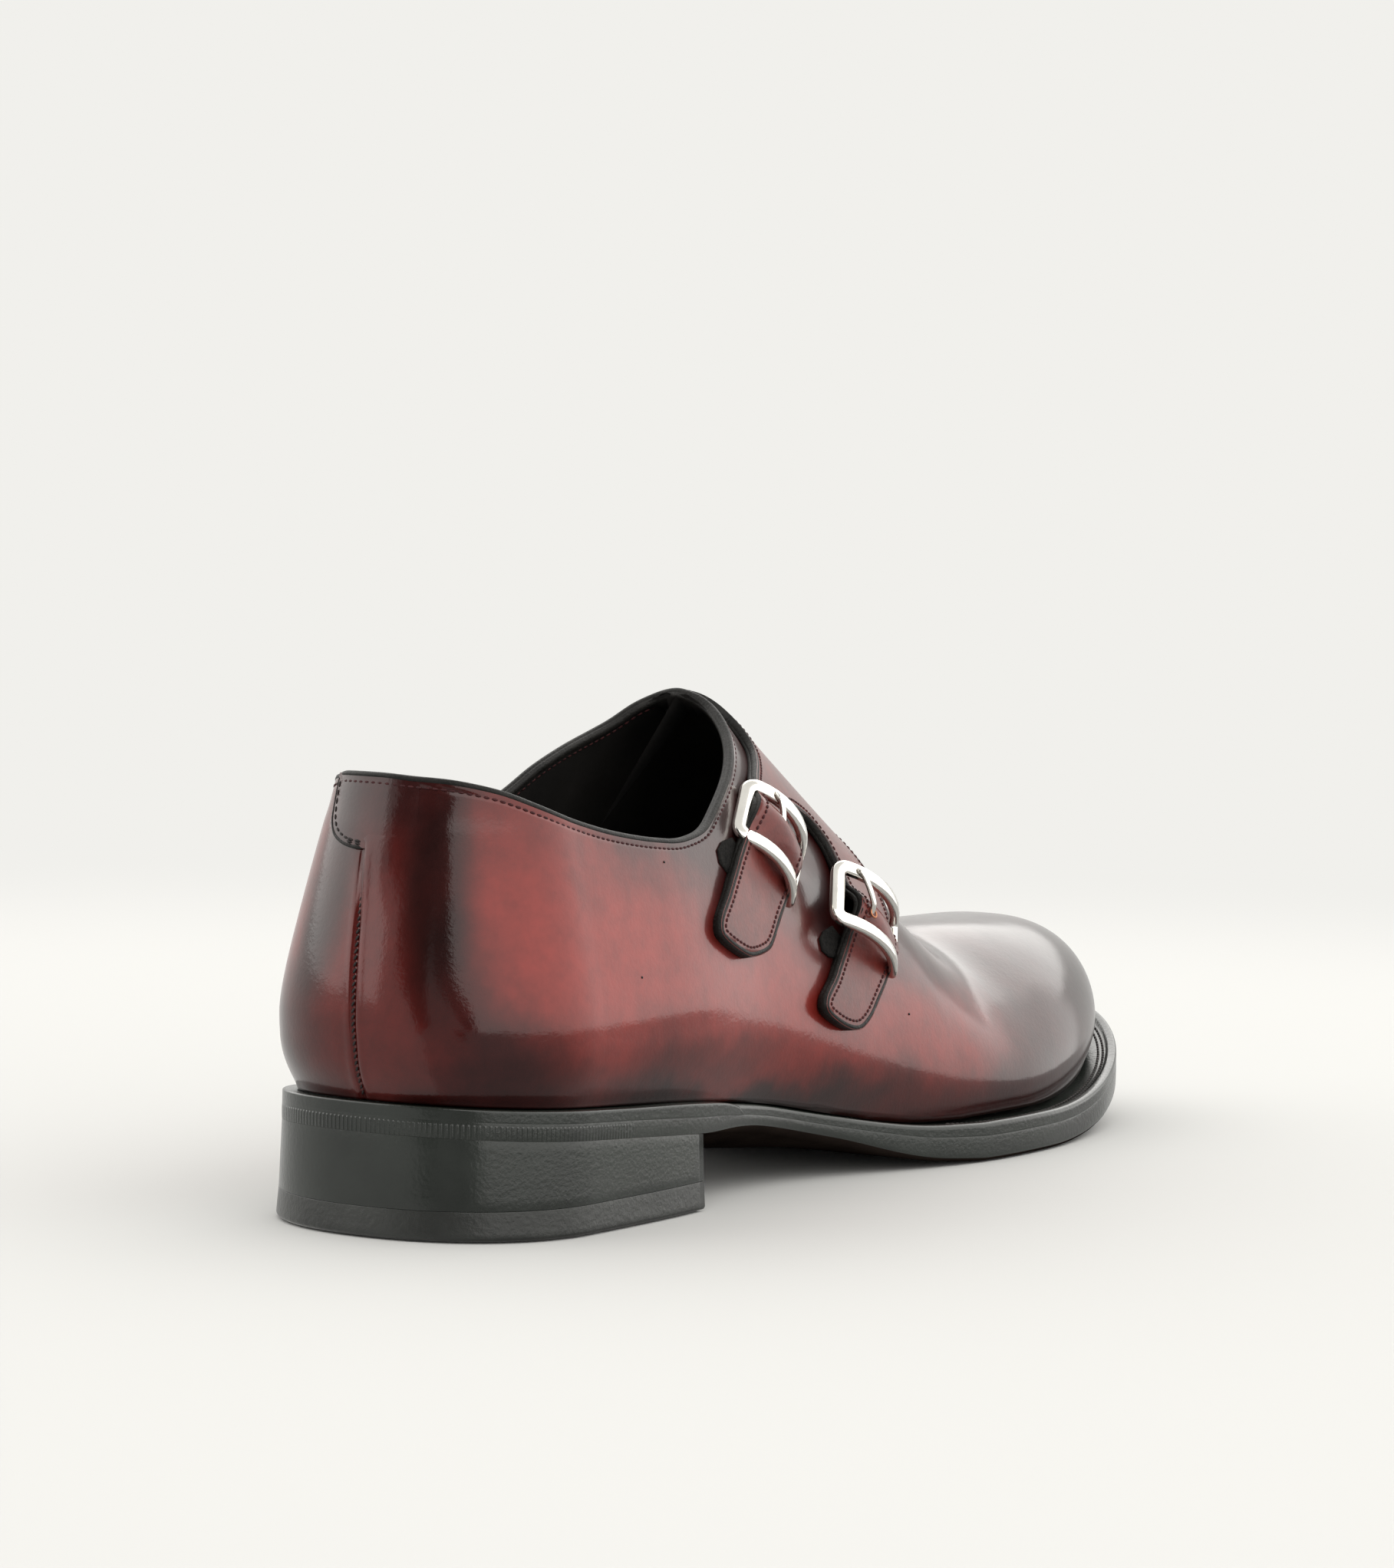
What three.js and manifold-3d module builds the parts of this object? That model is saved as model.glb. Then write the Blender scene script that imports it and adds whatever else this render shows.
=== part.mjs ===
import * as THREE from "three";
import { mergeVertices } from "three/addons/utils/BufferGeometryUtils.js";
import Module from "manifold-3d";

// Right-foot double monk strap shoe. Millimetres, +X to the toe, +Y to the medial side,
// +Z up, origin under the middle of the heel on the floor.

const wasm = await Module();
wasm.setup();

// Driving sizes of the whole shoe
const soleLength = 300;
const ballWidth = 97;
const instepHeight = 100;
const heelHeight = 26;

// Plan of the sole
const heelCentreToBack = 0.1125 * soleLength;
const heelHalfWidth = 0.359 * ballWidth;
const heelRoundness = 2.2;
const breastAt = 0.1387 * soleLength;
const toeTipAt = soleLength - heelCentreToBack;
const toeRoundStart = 0.58 * soleLength;
const toeRoundAlong = 2.0;
const toeRoundAcross = 2.2;
const toeShift = 0.031 * ballWidth;

// Heel and sole layers
const topLiftThickness = 6;
const stackTopAtBreast = 15.6;
const stackTopAtBack = 20.6;
const layerGap = 0.3;
const outsoleThickness = 3.6;
const outsoleForeThickness = 5.6;
const randThickness = 2.0;
const weltThickness = 2.9;
const insoleThickness = 3.2;
const edgeRounding = 0.8;
const stackInset = 0.2;
const heelFlare = 0.8;
const weltStart = 0.19 * soleLength;
const randEnd = weltStart - 2 * layerGap;
const forefootFlatStart = 0.4933 * soleLength;
const forefootFlatEnd = 0.6 * soleLength;
const toeSpring = 17;
const toeSpringPower = 1.9;

// Leather
const upperWall = 2.0;
const flapSeat = 0.4;
const flapThickness = 2.3;
const tabStep = 1.0;
const buckleSeat = 0.3;
const buckleThickness = 2.1;
const prongWidth = 2.6;
const prongThickness = 1.6;
const loopThickness = 1.1;

// Last: feather line to crest
const featherHeelRadius = 0.106 * soleLength;
const featherHeelRoundness = 2.15;
const featherTipAt = 0.8633 * soleLength;
const featherToeStart = 0.5833 * soleLength;
const featherToeAlong = 1.835;
const featherToeAcross = 2.17;
const noseStart = 0.6667 * soleLength;
const noseAlong = 2.65;
const noseAcross = 1.96;
const bulgeHeightHeel = 15;
const bulgeHeightFore = 20;
const bulgeTopShare = 0.33;
const bulgeBlend = 0.2 * soleLength;
const tipShift = 0.031 * ballWidth;
const tipShiftStart = 0.5 * soleLength;

// Sections of the last. at: share of the sole length from the heel centre; lateral, medial,
// shift and the two bulges: shares of the ball width; crest: share of the instep height;
// side and top: exponents of the section's fullness.
const lastSections = [
  { at: 0.0, lateral: 0.326, medial: 0.326, crest: 1.15, shift: 0.0, side: 2.0, top: 1.6,
    lateralBulge: 0.0443, medialBulge: 0.0443 },
  { at: 0.14, lateral: 0.33, medial: 0.309, crest: 1.04, shift: 0.01, side: 2.0, top: 1.95,
    lateralBulge: 0.0474, medialBulge: 0.0412 },
  { at: 0.2333, lateral: 0.325, medial: 0.2835, crest: 1.01, shift: 0.021, side: 2.0, top: 2.0,
    lateralBulge: 0.0433, medialBulge: 0.034 },
  { at: 0.3167, lateral: 0.34, medial: 0.294, crest: 0.889, shift: 0.041, side: 1.9, top: 1.97,
    lateralBulge: 0.0412, medialBulge: 0.031 },
  { at: 0.4, lateral: 0.366, medial: 0.34, crest: 0.77, shift: 0.0515, side: 1.9, top: 1.93,
    lateralBulge: 0.0361, medialBulge: 0.031 },
  { at: 0.4833, lateral: 0.402, medial: 0.397, crest: 0.599, shift: 0.0515, side: 2.0, top: 1.88,
    lateralBulge: 0.031, medialBulge: 0.031 },
  { at: 0.5667, lateral: 0.4227, medial: 0.443, crest: 0.4, shift: 0.041, side: 2.2, top: 2.03,
    lateralBulge: 0.028, medialBulge: 0.03 },
  { at: 0.65, lateral: 0.428, medial: 0.4485, crest: 0.374, shift: 0.021, side: 2.4, top: 2.16,
    lateralBulge: 0.028, medialBulge: 0.03 },
  { at: 0.7333, lateral: 0.428, medial: 0.4485, crest: 0.3566, shift: 0.0, side: 2.5, top: 2.25,
    lateralBulge: 0.028, medialBulge: 0.03 },
  { at: 0.8633, lateral: 0.428, medial: 0.4485, crest: 0.379, shift: 0.0, side: 2.5, top: 2.35,
    lateralBulge: 0.028, medialBulge: 0.03 },
];

// Half widths of the sole edge between the heel and the toe, shares of the ball width
const soleSections = [
  { at: 0.0, lateral: 0.359, medial: 0.359 },
  { at: 0.14, lateral: 0.36, medial: 0.325 },
  { at: 0.2833, lateral: 0.332, medial: 0.2474 },
  { at: 0.3833, lateral: 0.388, medial: 0.319 },
  { at: 0.5067, lateral: 0.4804, medial: 0.464 },
  { at: 0.6067, lateral: 0.4907, medial: 0.5155 },
  { at: 0.7, lateral: 0.4907, medial: 0.522 },
  { at: 0.8875, lateral: 0.4907, medial: 0.522 },
];

// Underside of the sole behind the forefoot, height as a share of the heel height
const waistRise = [
  { at: -0.1125, height: 0.8038 },
  { at: 0.1387, height: 0.6115 },
  { at: 0.2333, height: 0.496 },
  { at: 0.3333, height: 0.2846 },
  { at: 0.4333, height: 0.0577 },
  { at: 0.4933, height: 0.0 },
];

// Thickness of the whole sole edge, share of the heel height
const edgeThickness = [
  { at: -0.1125, height: 0.2346 },
  { at: 0.1387, height: 0.2346 },
  { at: 0.3333, height: 0.25 },
  { at: 0.4333, height: 0.304 },
  { at: 0.52, height: 0.335 },
  { at: 0.9, height: 0.335 },
];

// Top edge of the upper seen from the side, shares of the sole length
const topline = [
  { at: -0.17, lateral: 0.305, medial: 0.305 },
  { at: -0.085, lateral: 0.306, medial: 0.306 },
  { at: -0.06, lateral: 0.3, medial: 0.303 },
  { at: -0.0317, lateral: 0.289, medial: 0.2955 },
  { at: 0.0073, lateral: 0.276, medial: 0.284 },
  { at: 0.054, lateral: 0.2653, medial: 0.272 },
  { at: 0.1037, lateral: 0.2583, medial: 0.2655 },
  { at: 0.1313, lateral: 0.2563, medial: 0.266 },
  { at: 0.1627, lateral: 0.2593, medial: 0.2725 },
  { at: 0.1767, lateral: 0.2625, medial: 0.2785 },
  { at: 0.2077, lateral: 0.2787, medial: 0.2965 },
  { at: 0.24, lateral: 0.297, medial: 0.3105 },
  { at: 0.265, lateral: 0.3125, medial: 0.32 },
  { at: 0.283, lateral: 0.325, medial: 0.3285 },
  { at: 0.297, lateral: 0.337, medial: 0.341 },
  { at: 0.307, lateral: 0.35, medial: 0.351 },
  { at: 0.31, lateral: 0.4, medial: 0.4 },
];

// Flap with its two straps, seen from the lateral side (x, z in mm)
const flapLateral = [
  [96, 120], [97, 106], [98.5, 99], [96, 94.5], [90, 91.3], [80.2, 87], [71, 80.5], [62.5, 73.4],
  [54, 66], [47.4, 60.2], [46.8, 58], [48.5, 56.2], [56, 52.6], [59, 51.9], [67, 52.8], [70, 54.6],
  [79.7, 62.8], [85.3, 68.1], [91.4, 73.6], [97.6, 79.6], [103, 80.6], [109, 79.1], [114, 76.6], [117, 72.5],
  [116.4, 68], [113, 62.5], [105.3, 53.3], [96, 45.6], [89, 40.6], [88.5, 38.6], [93.9, 34.9],
  [101.2, 33], [106.3, 34.6], [113, 39], [119.4, 43.7], [127, 49.5], [133.5, 56.5], [137, 64],
  [139, 74], [139.5, 120],
];

// Flap on the medial side (x, z in mm)
const flapMedial = [
  [96, 120], [97, 106], [94, 98], [89, 88], [84, 76], [81, 64], [80, 55], [82, 49], [87, 45.5],
  [100, 41.5], [115, 37.8], [130, 35.2], [140, 34.2], [145, 36], [147.5, 41], [147, 48], [144, 57],
  [141, 66], [139.4, 74], [139.5, 120],
];

// Buckles seen from the lateral side: outer and inner outline of the frame (x, z in mm)
const rearFrame = {
  outer: [[57.9, 76.6], [59.6, 80.3], [62.2, 83.4], [65.6, 85.9], [69.5, 87.1], [74, 87.3],
    [78.5, 86.9], [83, 86.1], [87.9, 83.9], [91.3, 82.1], [93.3, 79.4], [93.5, 76.6], [92.6, 73.2],
    [90.6, 70.4], [86, 67.2], [82.5, 65.1], [80.6, 63.7], [79, 63.4], [77.3, 65.7], [74.5, 68.8],
    [71.2, 71.7], [67.6, 73.7], [63.8, 74.8], [60.3, 75.3], [58.4, 75.8]],
  inner: [[65.8, 78.2], [68, 81.1], [71.5, 83.2], [74.4, 84.6], [79, 83.7], [84, 82],
    [88.6, 79.8], [90.2, 77.6], [90, 75], [88.7, 72.5], [87.2, 70.6], [85, 69], [82.6, 67.8],
    [79.5, 70.4], [75.2, 73.7], [70.5, 76.2]],
};
const frontFrame = {
  outer: [[97.1, 57.3], [97.4, 59.4], [99.6, 62.6], [103.4, 65.9], [106.9, 67.3], [111.1, 67.8],
    [115.5, 67.6], [119.3, 66.9], [123.4, 65.6], [127, 63.9], [129, 61.2], [129.8, 57.6],
    [129.2, 54.2], [127, 51], [123.5, 48.1], [121.4, 45.6], [119, 44], [117.5, 44.2],
    [117.2, 46.3], [115.1, 48.6], [111.9, 51], [108.1, 53.2], [104.1, 54.7], [99.4, 55.4],
    [97.6, 56.2]],
  inner: [[104.2, 58.4], [105, 61], [108, 63.8], [111.3, 65], [115.5, 64.4], [119.6, 63.2],
    [123.6, 61.9], [125.8, 60], [126.4, 57.4], [125.9, 54.4], [124.8, 52], [123.4, 50.4],
    [121.8, 49.2], [119.6, 51.4], [115.7, 53.9], [111.3, 55.9], [106.8, 57.2]],
};

// Prongs: foot in the strap, the top bar they rest on (x, z in mm)
const rearProng = { foot: [86, 75], bar: [87.6, 82.4] };
const frontProng = { foot: [122.6, 56.8], bar: [124.2, 63.8] };

// Elastic loops that hold the buckles, the part that shows beside the strap (x, z in mm)
const rearLoop = [[54, 74.6], [60.6, 74.6], [61.2, 73.3], [55.8, 68.6], [51.4, 72.6]];
const frontLoop = [[92.4, 53.4], [103.2, 53.6], [103.8, 53], [96.4, 47.2], [91.4, 51]];

// Colours of the materials
const leather = { color: 0x7a1f1c, roughness: 0.28, metalness: 0 };
const leatherFlap = { color: 0x6b1a18, roughness: 0.3, metalness: 0 };
const soleEdge = { color: 0x262b27, roughness: 0.35, metalness: 0 };
const outsoleLook = { color: 0x2b2620, roughness: 0.6, metalness: 0 };
const rubber = { color: 0x232825, roughness: 0.5, metalness: 0 };
const insoleLook = { color: 0x5a2a20, roughness: 0.7, metalness: 0 };
const copperMetal = { color: 0xc98f86, roughness: 0.3, metalness: 1 };
const elastic = { color: 0x15120f, roughness: 0.9, metalness: 0 };

// Smooth curve with continuous bend through the points
function naturalSpline(xs, ys) {
  const last = xs.length - 1;
  const bend = new Array(last + 1).fill(0);
  const work = new Array(last + 1).fill(0);
  for (let i = 1; i < last; i++) {
    const share = (xs[i] - xs[i - 1]) / (xs[i + 1] - xs[i - 1]);
    const pivot = share * bend[i - 1] + 2;
    bend[i] = (share - 1) / pivot;
    const step = (ys[i + 1] - ys[i]) / (xs[i + 1] - xs[i])
      - (ys[i] - ys[i - 1]) / (xs[i] - xs[i - 1]);
    work[i] = (6 * step / (xs[i + 1] - xs[i - 1]) - share * work[i - 1]) / pivot;
  }
  for (let i = last - 1; i > 0; i--) bend[i] = bend[i] * bend[i + 1] + work[i];
  return (value) => {
    const x = Math.min(Math.max(value, xs[0]), xs[last]);
    let k = 0;
    while (k < last - 1 && x > xs[k + 1]) k++;
    const h = xs[k + 1] - xs[k];
    const a = (xs[k + 1] - x) / h;
    const b = 1 - a;
    return a * ys[k] + b * ys[k + 1]
      + ((a ** 3 - a) * bend[k] + (b ** 3 - b) * bend[k + 1]) * h * h / 6;
  };
}

// Curve that never overshoots its points
function steadyCurve(xs, ys) {
  const last = xs.length - 1;
  const slope = xs.slice(1).map((x, i) => (ys[i + 1] - ys[i]) / (x - xs[i]));
  const tangent = xs.map((x, i) => {
    if (i === 0) return slope[0];
    if (i === last) return slope[last - 1];
    if (slope[i - 1] * slope[i] <= 0) return 0;
    return 2 * slope[i - 1] * slope[i] / (slope[i - 1] + slope[i]);
  });
  return (value) => {
    const x = Math.min(Math.max(value, xs[0]), xs[last]);
    let k = 0;
    while (k < last - 1 && x > xs[k + 1]) k++;
    const h = xs[k + 1] - xs[k];
    const t = (x - xs[k]) / h;
    return ys[k] * (1 + 2 * t) * (1 - t) ** 2 + h * tangent[k] * t * (1 - t) ** 2
      + ys[k + 1] * t * t * (3 - 2 * t) + h * tangent[k + 1] * t * t * (t - 1);
  };
}

function column(table, name, size, curve) {
  return curve(table.map((row) => row.at * soleLength), table.map((row) => row[name] * size));
}

const lastLateral = column(lastSections, "lateral", ballWidth, naturalSpline);
const lastMedial = column(lastSections, "medial", ballWidth, naturalSpline);
const lastCrest = column(lastSections, "crest", instepHeight, naturalSpline);
const lastShift = column(lastSections, "shift", ballWidth, naturalSpline);
const lastSide = column(lastSections, "side", 1, steadyCurve);
const lastTop = column(lastSections, "top", 1, steadyCurve);
const lastLateralBulge = column(lastSections, "lateralBulge", ballWidth, steadyCurve);
const lastMedialBulge = column(lastSections, "medialBulge", ballWidth, steadyCurve);
const soleLateral = column(soleSections, "lateral", ballWidth, naturalSpline);
const soleMedial = column(soleSections, "medial", ballWidth, naturalSpline);
const waistHeight = column(waistRise, "height", heelHeight, steadyCurve);
const edgeHeight = column(edgeThickness, "height", heelHeight, steadyCurve);

// Heights along the shoe
function soleBottom(x) {
  if (x < forefootFlatStart) return waistHeight(x);
  if (x < forefootFlatEnd) return 0;
  const share = (x - forefootFlatEnd) / (toeTipAt - forefootFlatEnd);
  return toeSpring * share ** toeSpringPower;
}

function soleTop(x) {
  return soleBottom(x) + edgeHeight(x);
}

function outsoleTop(x) {
  const blend = Math.min(Math.max((x - breastAt) / (forefootFlatStart - breastAt), 0), 1);
  const thickness = outsoleThickness + (outsoleForeThickness - outsoleThickness) * blend;
  return soleBottom(x) + Math.min(thickness, edgeHeight(x) - layerGap - randThickness);
}

function roundedEnd(share, along, across) {
  return Math.max(1 - Math.min(Math.max(share, 0), 1) ** along, 0) ** (1 / across);
}

// Outlines are lists of stations: x, lateral half width, medial half width and centre
function soleOutline(inset, from, to) {
  const stations = [];
  const heel = heelCentreToBack - inset;
  for (let i = 0; i <= 8; i++) {
    const angle = i / 8 * Math.PI / 2;
    const width = (heelHalfWidth - inset) * Math.sin(angle) ** (2 / heelRoundness);
    stations.push({ x: -heel * Math.cos(angle) ** (2 / heelRoundness), lateral: width,
      medial: width });
  }
  const middle = [15, 30, breastAt - 0.5, breastAt + 4, weltStart, 70, 84, 98, 112, 126, 138,
    forefootFlatStart, 160, 170];
  for (const x of middle) {
    stations.push({ x, lateral: soleLateral(x) - inset, medial: soleMedial(x) - inset });
  }
  const reach = toeTipAt - inset - toeRoundStart;
  for (let i = 0; i <= 12; i++) {
    const angle = i / 12 * Math.PI / 2;
    const x = toeRoundStart + reach * Math.sin(angle) ** (2 / toeRoundAlong);
    const width = Math.cos(angle) ** (2 / toeRoundAcross);
    stations.push({ x, lateral: (soleLateral(x) - inset) * width,
      medial: (soleMedial(x) - inset) * width });
  }
  const kept = stations.filter((s) => s.x > from - 0.01 && s.x < to + 0.01);
  for (const s of kept) {
    const share = Math.min(Math.max((s.x - toeRoundStart) / (toeTipAt - toeRoundStart), 0), 1);
    s.centre = toeShift * share ** 1.5;
  }
  return kept;
}

function endedAt(stations, x, inset) {
  return stations.concat([{ x, lateral: soleLateral(x) - inset, medial: soleMedial(x) - inset,
    centre: 0 }]);
}

// One closed body from triangles given as corner points
function solid(corners) {
  const positions = new Float32Array(corners.flat());
  let geometry = new THREE.BufferGeometry();
  geometry.setAttribute("position", new THREE.BufferAttribute(positions, 3));
  geometry = mergeVertices(geometry, 1e-4);
  const points = geometry.getAttribute("position").array;
  const index = geometry.getIndex().array;
  const kept = [];
  let volume = 0;
  for (let i = 0; i < index.length; i += 3) {
    const [a, b, c] = [index[i], index[i + 1], index[i + 2]];
    if (a === b || b === c || a === c) continue;
    kept.push(a, b, c);
    const [p, q, r] = [a, b, c].map((k) => new THREE.Vector3().fromArray(points, 3 * k));
    volume += p.dot(q.cross(r));
  }
  if (volume < 0) {
    for (let i = 0; i < kept.length; i += 3) [kept[i], kept[i + 1]] = [kept[i + 1], kept[i]];
  }
  return new wasm.Manifold(new wasm.Mesh({ numProp: 3, vertProperties: new Float32Array(points),
    triVerts: new Uint32Array(kept) }));
}

function quad(corners, a, b, c, d) {
  corners.push(a, b, c, a, c, d);
}

// A layer of the sole: rings of an outline at rising heights, closed below and above
function layer(rings) {
  const corners = [];
  const placed = rings.map(({ stations, height }) => stations.map((s) => ({
    lateral: [s.x, s.centre - s.lateral, height(s.x)],
    medial: [s.x, s.centre + s.medial, height(s.x)],
  })));
  const count = placed[0].length - 1;
  for (let r = 0; r < placed.length - 1; r++) {
    const [low, high] = [placed[r], placed[r + 1]];
    for (let i = 0; i < count; i++) {
      quad(corners, low[i].lateral, low[i + 1].lateral, high[i + 1].lateral, high[i].lateral);
      quad(corners, low[i].medial, high[i].medial, high[i + 1].medial, low[i + 1].medial);
    }
    quad(corners, low[0].medial, low[0].lateral, high[0].lateral, high[0].medial);
    quad(corners, low[count].lateral, low[count].medial, high[count].medial,
      high[count].lateral);
  }
  const [bottom, top] = [placed[0], placed[placed.length - 1]];
  for (let i = 0; i < count; i++) {
    quad(corners, bottom[i].lateral, bottom[i].medial, bottom[i + 1].medial,
      bottom[i + 1].lateral);
    quad(corners, top[i].lateral, top[i + 1].lateral, top[i + 1].medial, top[i].medial);
  }
  return solid(corners);
}

// Outward swell of the last above the feather line, and its end at the crest
function swellAt(height, peak) {
  const s = height / peak;
  return (s * Math.exp(1 - s)) ** 1.4;
}

function crestFade(height, crest) {
  return Math.max(1 - (height / Math.max(crest, 1e-6)) ** 6, 0);
}

// Point of the last. u runs from the back centre (0) over the heel's side (1) to the toe (2),
// rise from the feather line (0) to the crest (1); grow moves the surface outwards.
function lastPoint(u, side, rise, grow) {
  const angle = rise * Math.PI / 2;
  if (u < 1) {
    const turn = u * Math.PI / 2;
    const along = Math.cos(turn) ** (2 / featherHeelRoundness);
    const across = Math.sin(turn) ** (2 / featherHeelRoundness);
    const crest = lastCrest(0) + grow;
    const height = crest * Math.sin(angle) ** (2 / lastTop(0));
    const inward = Math.cos(angle) ** (2 / lastSide(0));
    const swell = lastLateralBulge(0) * swellAt(height, bulgeHeightHeel)
      * crestFade(height, crest);
    return [-along * (inward * (featherHeelRadius + grow) + swell),
      side * across * (inward * (lastLateral(0) + grow) + swell),
      soleTop(-featherHeelRadius * along) + layerGap + height];
  }
  const tip = featherTipAt + grow;
  const x = tip * (1 - (2 - u) ** 1.75);
  const width = (side < 0 ? lastLateral(x) : lastMedial(x)) + grow;
  const end = roundedEnd((x - featherToeStart) / (tip - featherToeStart), featherToeAlong,
    featherToeAcross);
  const nose = roundedEnd((x - noseStart) / (tip - noseStart), noseAlong, noseAcross);
  const crest = (lastCrest(x) + grow) * nose;
  const height = crest * Math.sin(angle) ** (2 / lastTop(x));
  const inward = Math.cos(angle) ** (2 / lastSide(x));
  const peak = Math.min(bulgeHeightHeel + (bulgeHeightFore - bulgeHeightHeel)
    * Math.min(Math.max(x / bulgeBlend, 0), 1), bulgeTopShare * lastCrest(x));
  const swell = (side < 0 ? lastLateralBulge(x) : lastMedialBulge(x))
    * swellAt(height, peak) * crestFade(height, crest);
  const push = (lastLateralBulge(x) + lastMedialBulge(x)) / 2 * swellAt(height, peak);
  const forward = Math.sqrt(Math.max(1 - end * end, 0));
  const share = crest > 0 ? height / crest : 0;
  const lean = lastShift(x) * share * share * (3 - 2 * share);
  const drift = Math.min(Math.max((x - tipShiftStart) / (featherTipAt - tipShiftStart), 0), 1);
  return [x + push * forward,
    tipShift * drift ** 1.5 + lean + side * (inward * width * end + swell * end),
    soleTop(Math.min(x, toeTipAt)) + layerGap + height];
}

// Closed form of the last; drop lowers its underside so that it can cut a wall open below
function lastForm(grow, drop, alongCount, heelCount, riseCount) {
  const corners = [];
  const places = [];
  for (let i = 0; i < heelCount; i++) places.push(i / heelCount);
  for (let i = 0; i <= alongCount; i++) places.push(1 + i / alongCount);
  const rows = places.map((u) => [-1, 1].map((side) => {
    const row = [];
    for (let j = 0; j <= riseCount; j++) {
      row.push(lastPoint(u, side, j / riseCount, grow));
    }
    if (drop > 0) row.unshift([row[0][0], row[0][1], row[0][2] - drop]);
    return row;
  }));
  for (let i = 0; i < rows.length - 1; i++) {
    const [here, next] = [rows[i], rows[i + 1]];
    for (let j = 0; j < here[0].length - 1; j++) {
      quad(corners, here[0][j], next[0][j], next[0][j + 1], here[0][j + 1]);
      quad(corners, here[1][j], here[1][j + 1], next[1][j + 1], next[1][j]);
    }
    quad(corners, here[0][0], here[1][0], next[1][0], next[0][0]);
  }
  return solid(corners);
}

// Prism across the shoe with the side-view outline, from one y to another
function sidePrism(outline, from, to) {
  const shape = new THREE.Shape(outline.map(([x, z]) => new THREE.Vector2(x, z)));
  const geometry = new THREE.ExtrudeGeometry(shape, { depth: to - from, bevelEnabled: false });
  geometry.rotateX(Math.PI / 2);
  geometry.translate(0, to, 0);
  geometry.deleteAttribute("normal");
  geometry.deleteAttribute("uv");
  const merged = mergeVertices(geometry, 1e-4);
  return new wasm.Manifold(new wasm.Mesh({ numProp: 3,
    vertProperties: new Float32Array(merged.getAttribute("position").array),
    triVerts: new Uint32Array(merged.getIndex().array) }));
}

// Everything above the top edge of the upper
function toplineCutter(name, from, to) {
  const curve = column(topline, name, soleLength, steadyCurve);
  const outline = [];
  const start = topline[0].at * soleLength;
  const end = topline[topline.length - 1].at * soleLength;
  for (let i = 0; i <= 34; i++) {
    const x = start + (end - start) * i / 34;
    outline.push([x, curve(x)]);
  }
  outline.push([end, 170], [start, 170]);
  return sidePrism(outline, from, to);
}

function buildUpper() {
  const outer = lastForm(0, 0, 30, 7, 17);
  const inner = lastForm(-upperWall, 8, 26, 6, 14);
  const tab = lastForm(tabStep, 0, 30, 7, 17)
    .intersect(sidePrism([[-60, 78], [-27, 77.4], [-24, 78.6], [-18, 81.6], [-12, 84.5], [-9, 120],
      [-60, 120]], 2.5, 80));
  const cutter = toplineCutter("lateral", -80, 0).add(toplineCutter("medial", 0, 80));
  return outer.add(tab).subtract(inner).subtract(cutter);
}

function shell(seat, thickness, alongCount, riseCount) {
  return lastForm(seat + thickness, 0, alongCount, 6, riseCount)
    .subtract(lastForm(seat, 4, alongCount, 6, riseCount));
}

function buildFlap() {
  const outline = sidePrism(flapLateral, -80, 0.5).add(sidePrism(flapMedial, 0.5, 80));
  return shell(flapSeat, flapThickness, 30, 17).intersect(outline);
}

const frameLevel = flapSeat + flapThickness + buckleSeat;

function buildFrame(frame) {
  const ring = sidePrism(frame.outer, -80, -5).subtract(sidePrism(frame.inner, -90, 0));
  return shell(frameLevel, buckleThickness, 30, 17).intersect(ring);
}

// Height field of the last's lateral side: y of the surface at x, z
function lateralPoint(x, z, lift) {
  const crest = lastCrest(x) + lift;
  const height = z - soleTop(x) - layerGap;
  const share = height / crest;
  const inward = (1 - share ** lastTop(x)) ** (1 / lastSide(x));
  const peak = Math.min(bulgeHeightFore, bulgeTopShare * crest);
  const swell = lastLateralBulge(x) * swellAt(height, peak) * crestFade(height, crest);
  const lean = lastShift(x) * share * share * (3 - 2 * share);
  return new THREE.Vector3(x, lean - inward * (lastLateral(x) + lift) - swell, z);
}

// Prong: a bar from the strap over the top bar of its frame
function buildProng(prong) {
  const seat = frameLevel;
  const overBar = frameLevel + buckleThickness + 2 * buckleSeat;
  const stops = [
    { share: 0, lift: seat, width: 1 }, { share: 0.25, lift: seat + 0.3, width: 1 },
    { share: 0.6, lift: overBar, width: 1 }, { share: 1.0, lift: overBar, width: 0.8 },
    { share: 1.18, lift: overBar, width: 0.4 },
  ];
  const start = new THREE.Vector2(...prong.foot);
  const end = new THREE.Vector2(...prong.bar);
  const across = end.clone().sub(start).normalize().rotateAround(new THREE.Vector2(), Math.PI / 2);
  const corners = [];
  const loops = stops.map(({ share, lift, width }) => {
    const middle = start.clone().lerp(end, share);
    const half = across.clone().multiplyScalar(prongWidth * width / 2);
    return [[1, 0], [-1, 0], [-1, 1], [1, 1]].map(([s, level]) => {
      const place = middle.clone().addScaledVector(half, s);
      return lateralPoint(place.x, place.y, lift + level * prongThickness).toArray();
    });
  });
  for (let i = 0; i < loops.length - 1; i++) {
    for (let j = 0; j < 4; j++) {
      const k = (j + 1) % 4;
      quad(corners, loops[i][j], loops[i][k], loops[i + 1][k], loops[i + 1][j]);
    }
  }
  quad(corners, loops[0][3], loops[0][2], loops[0][1], loops[0][0]);
  quad(corners, ...loops[loops.length - 1]);
  return solid(corners);
}

function buildLoop(outline) {
  return shell(flapSeat, loopThickness, 30, 17).intersect(sidePrism(outline, -80, -5));
}

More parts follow.
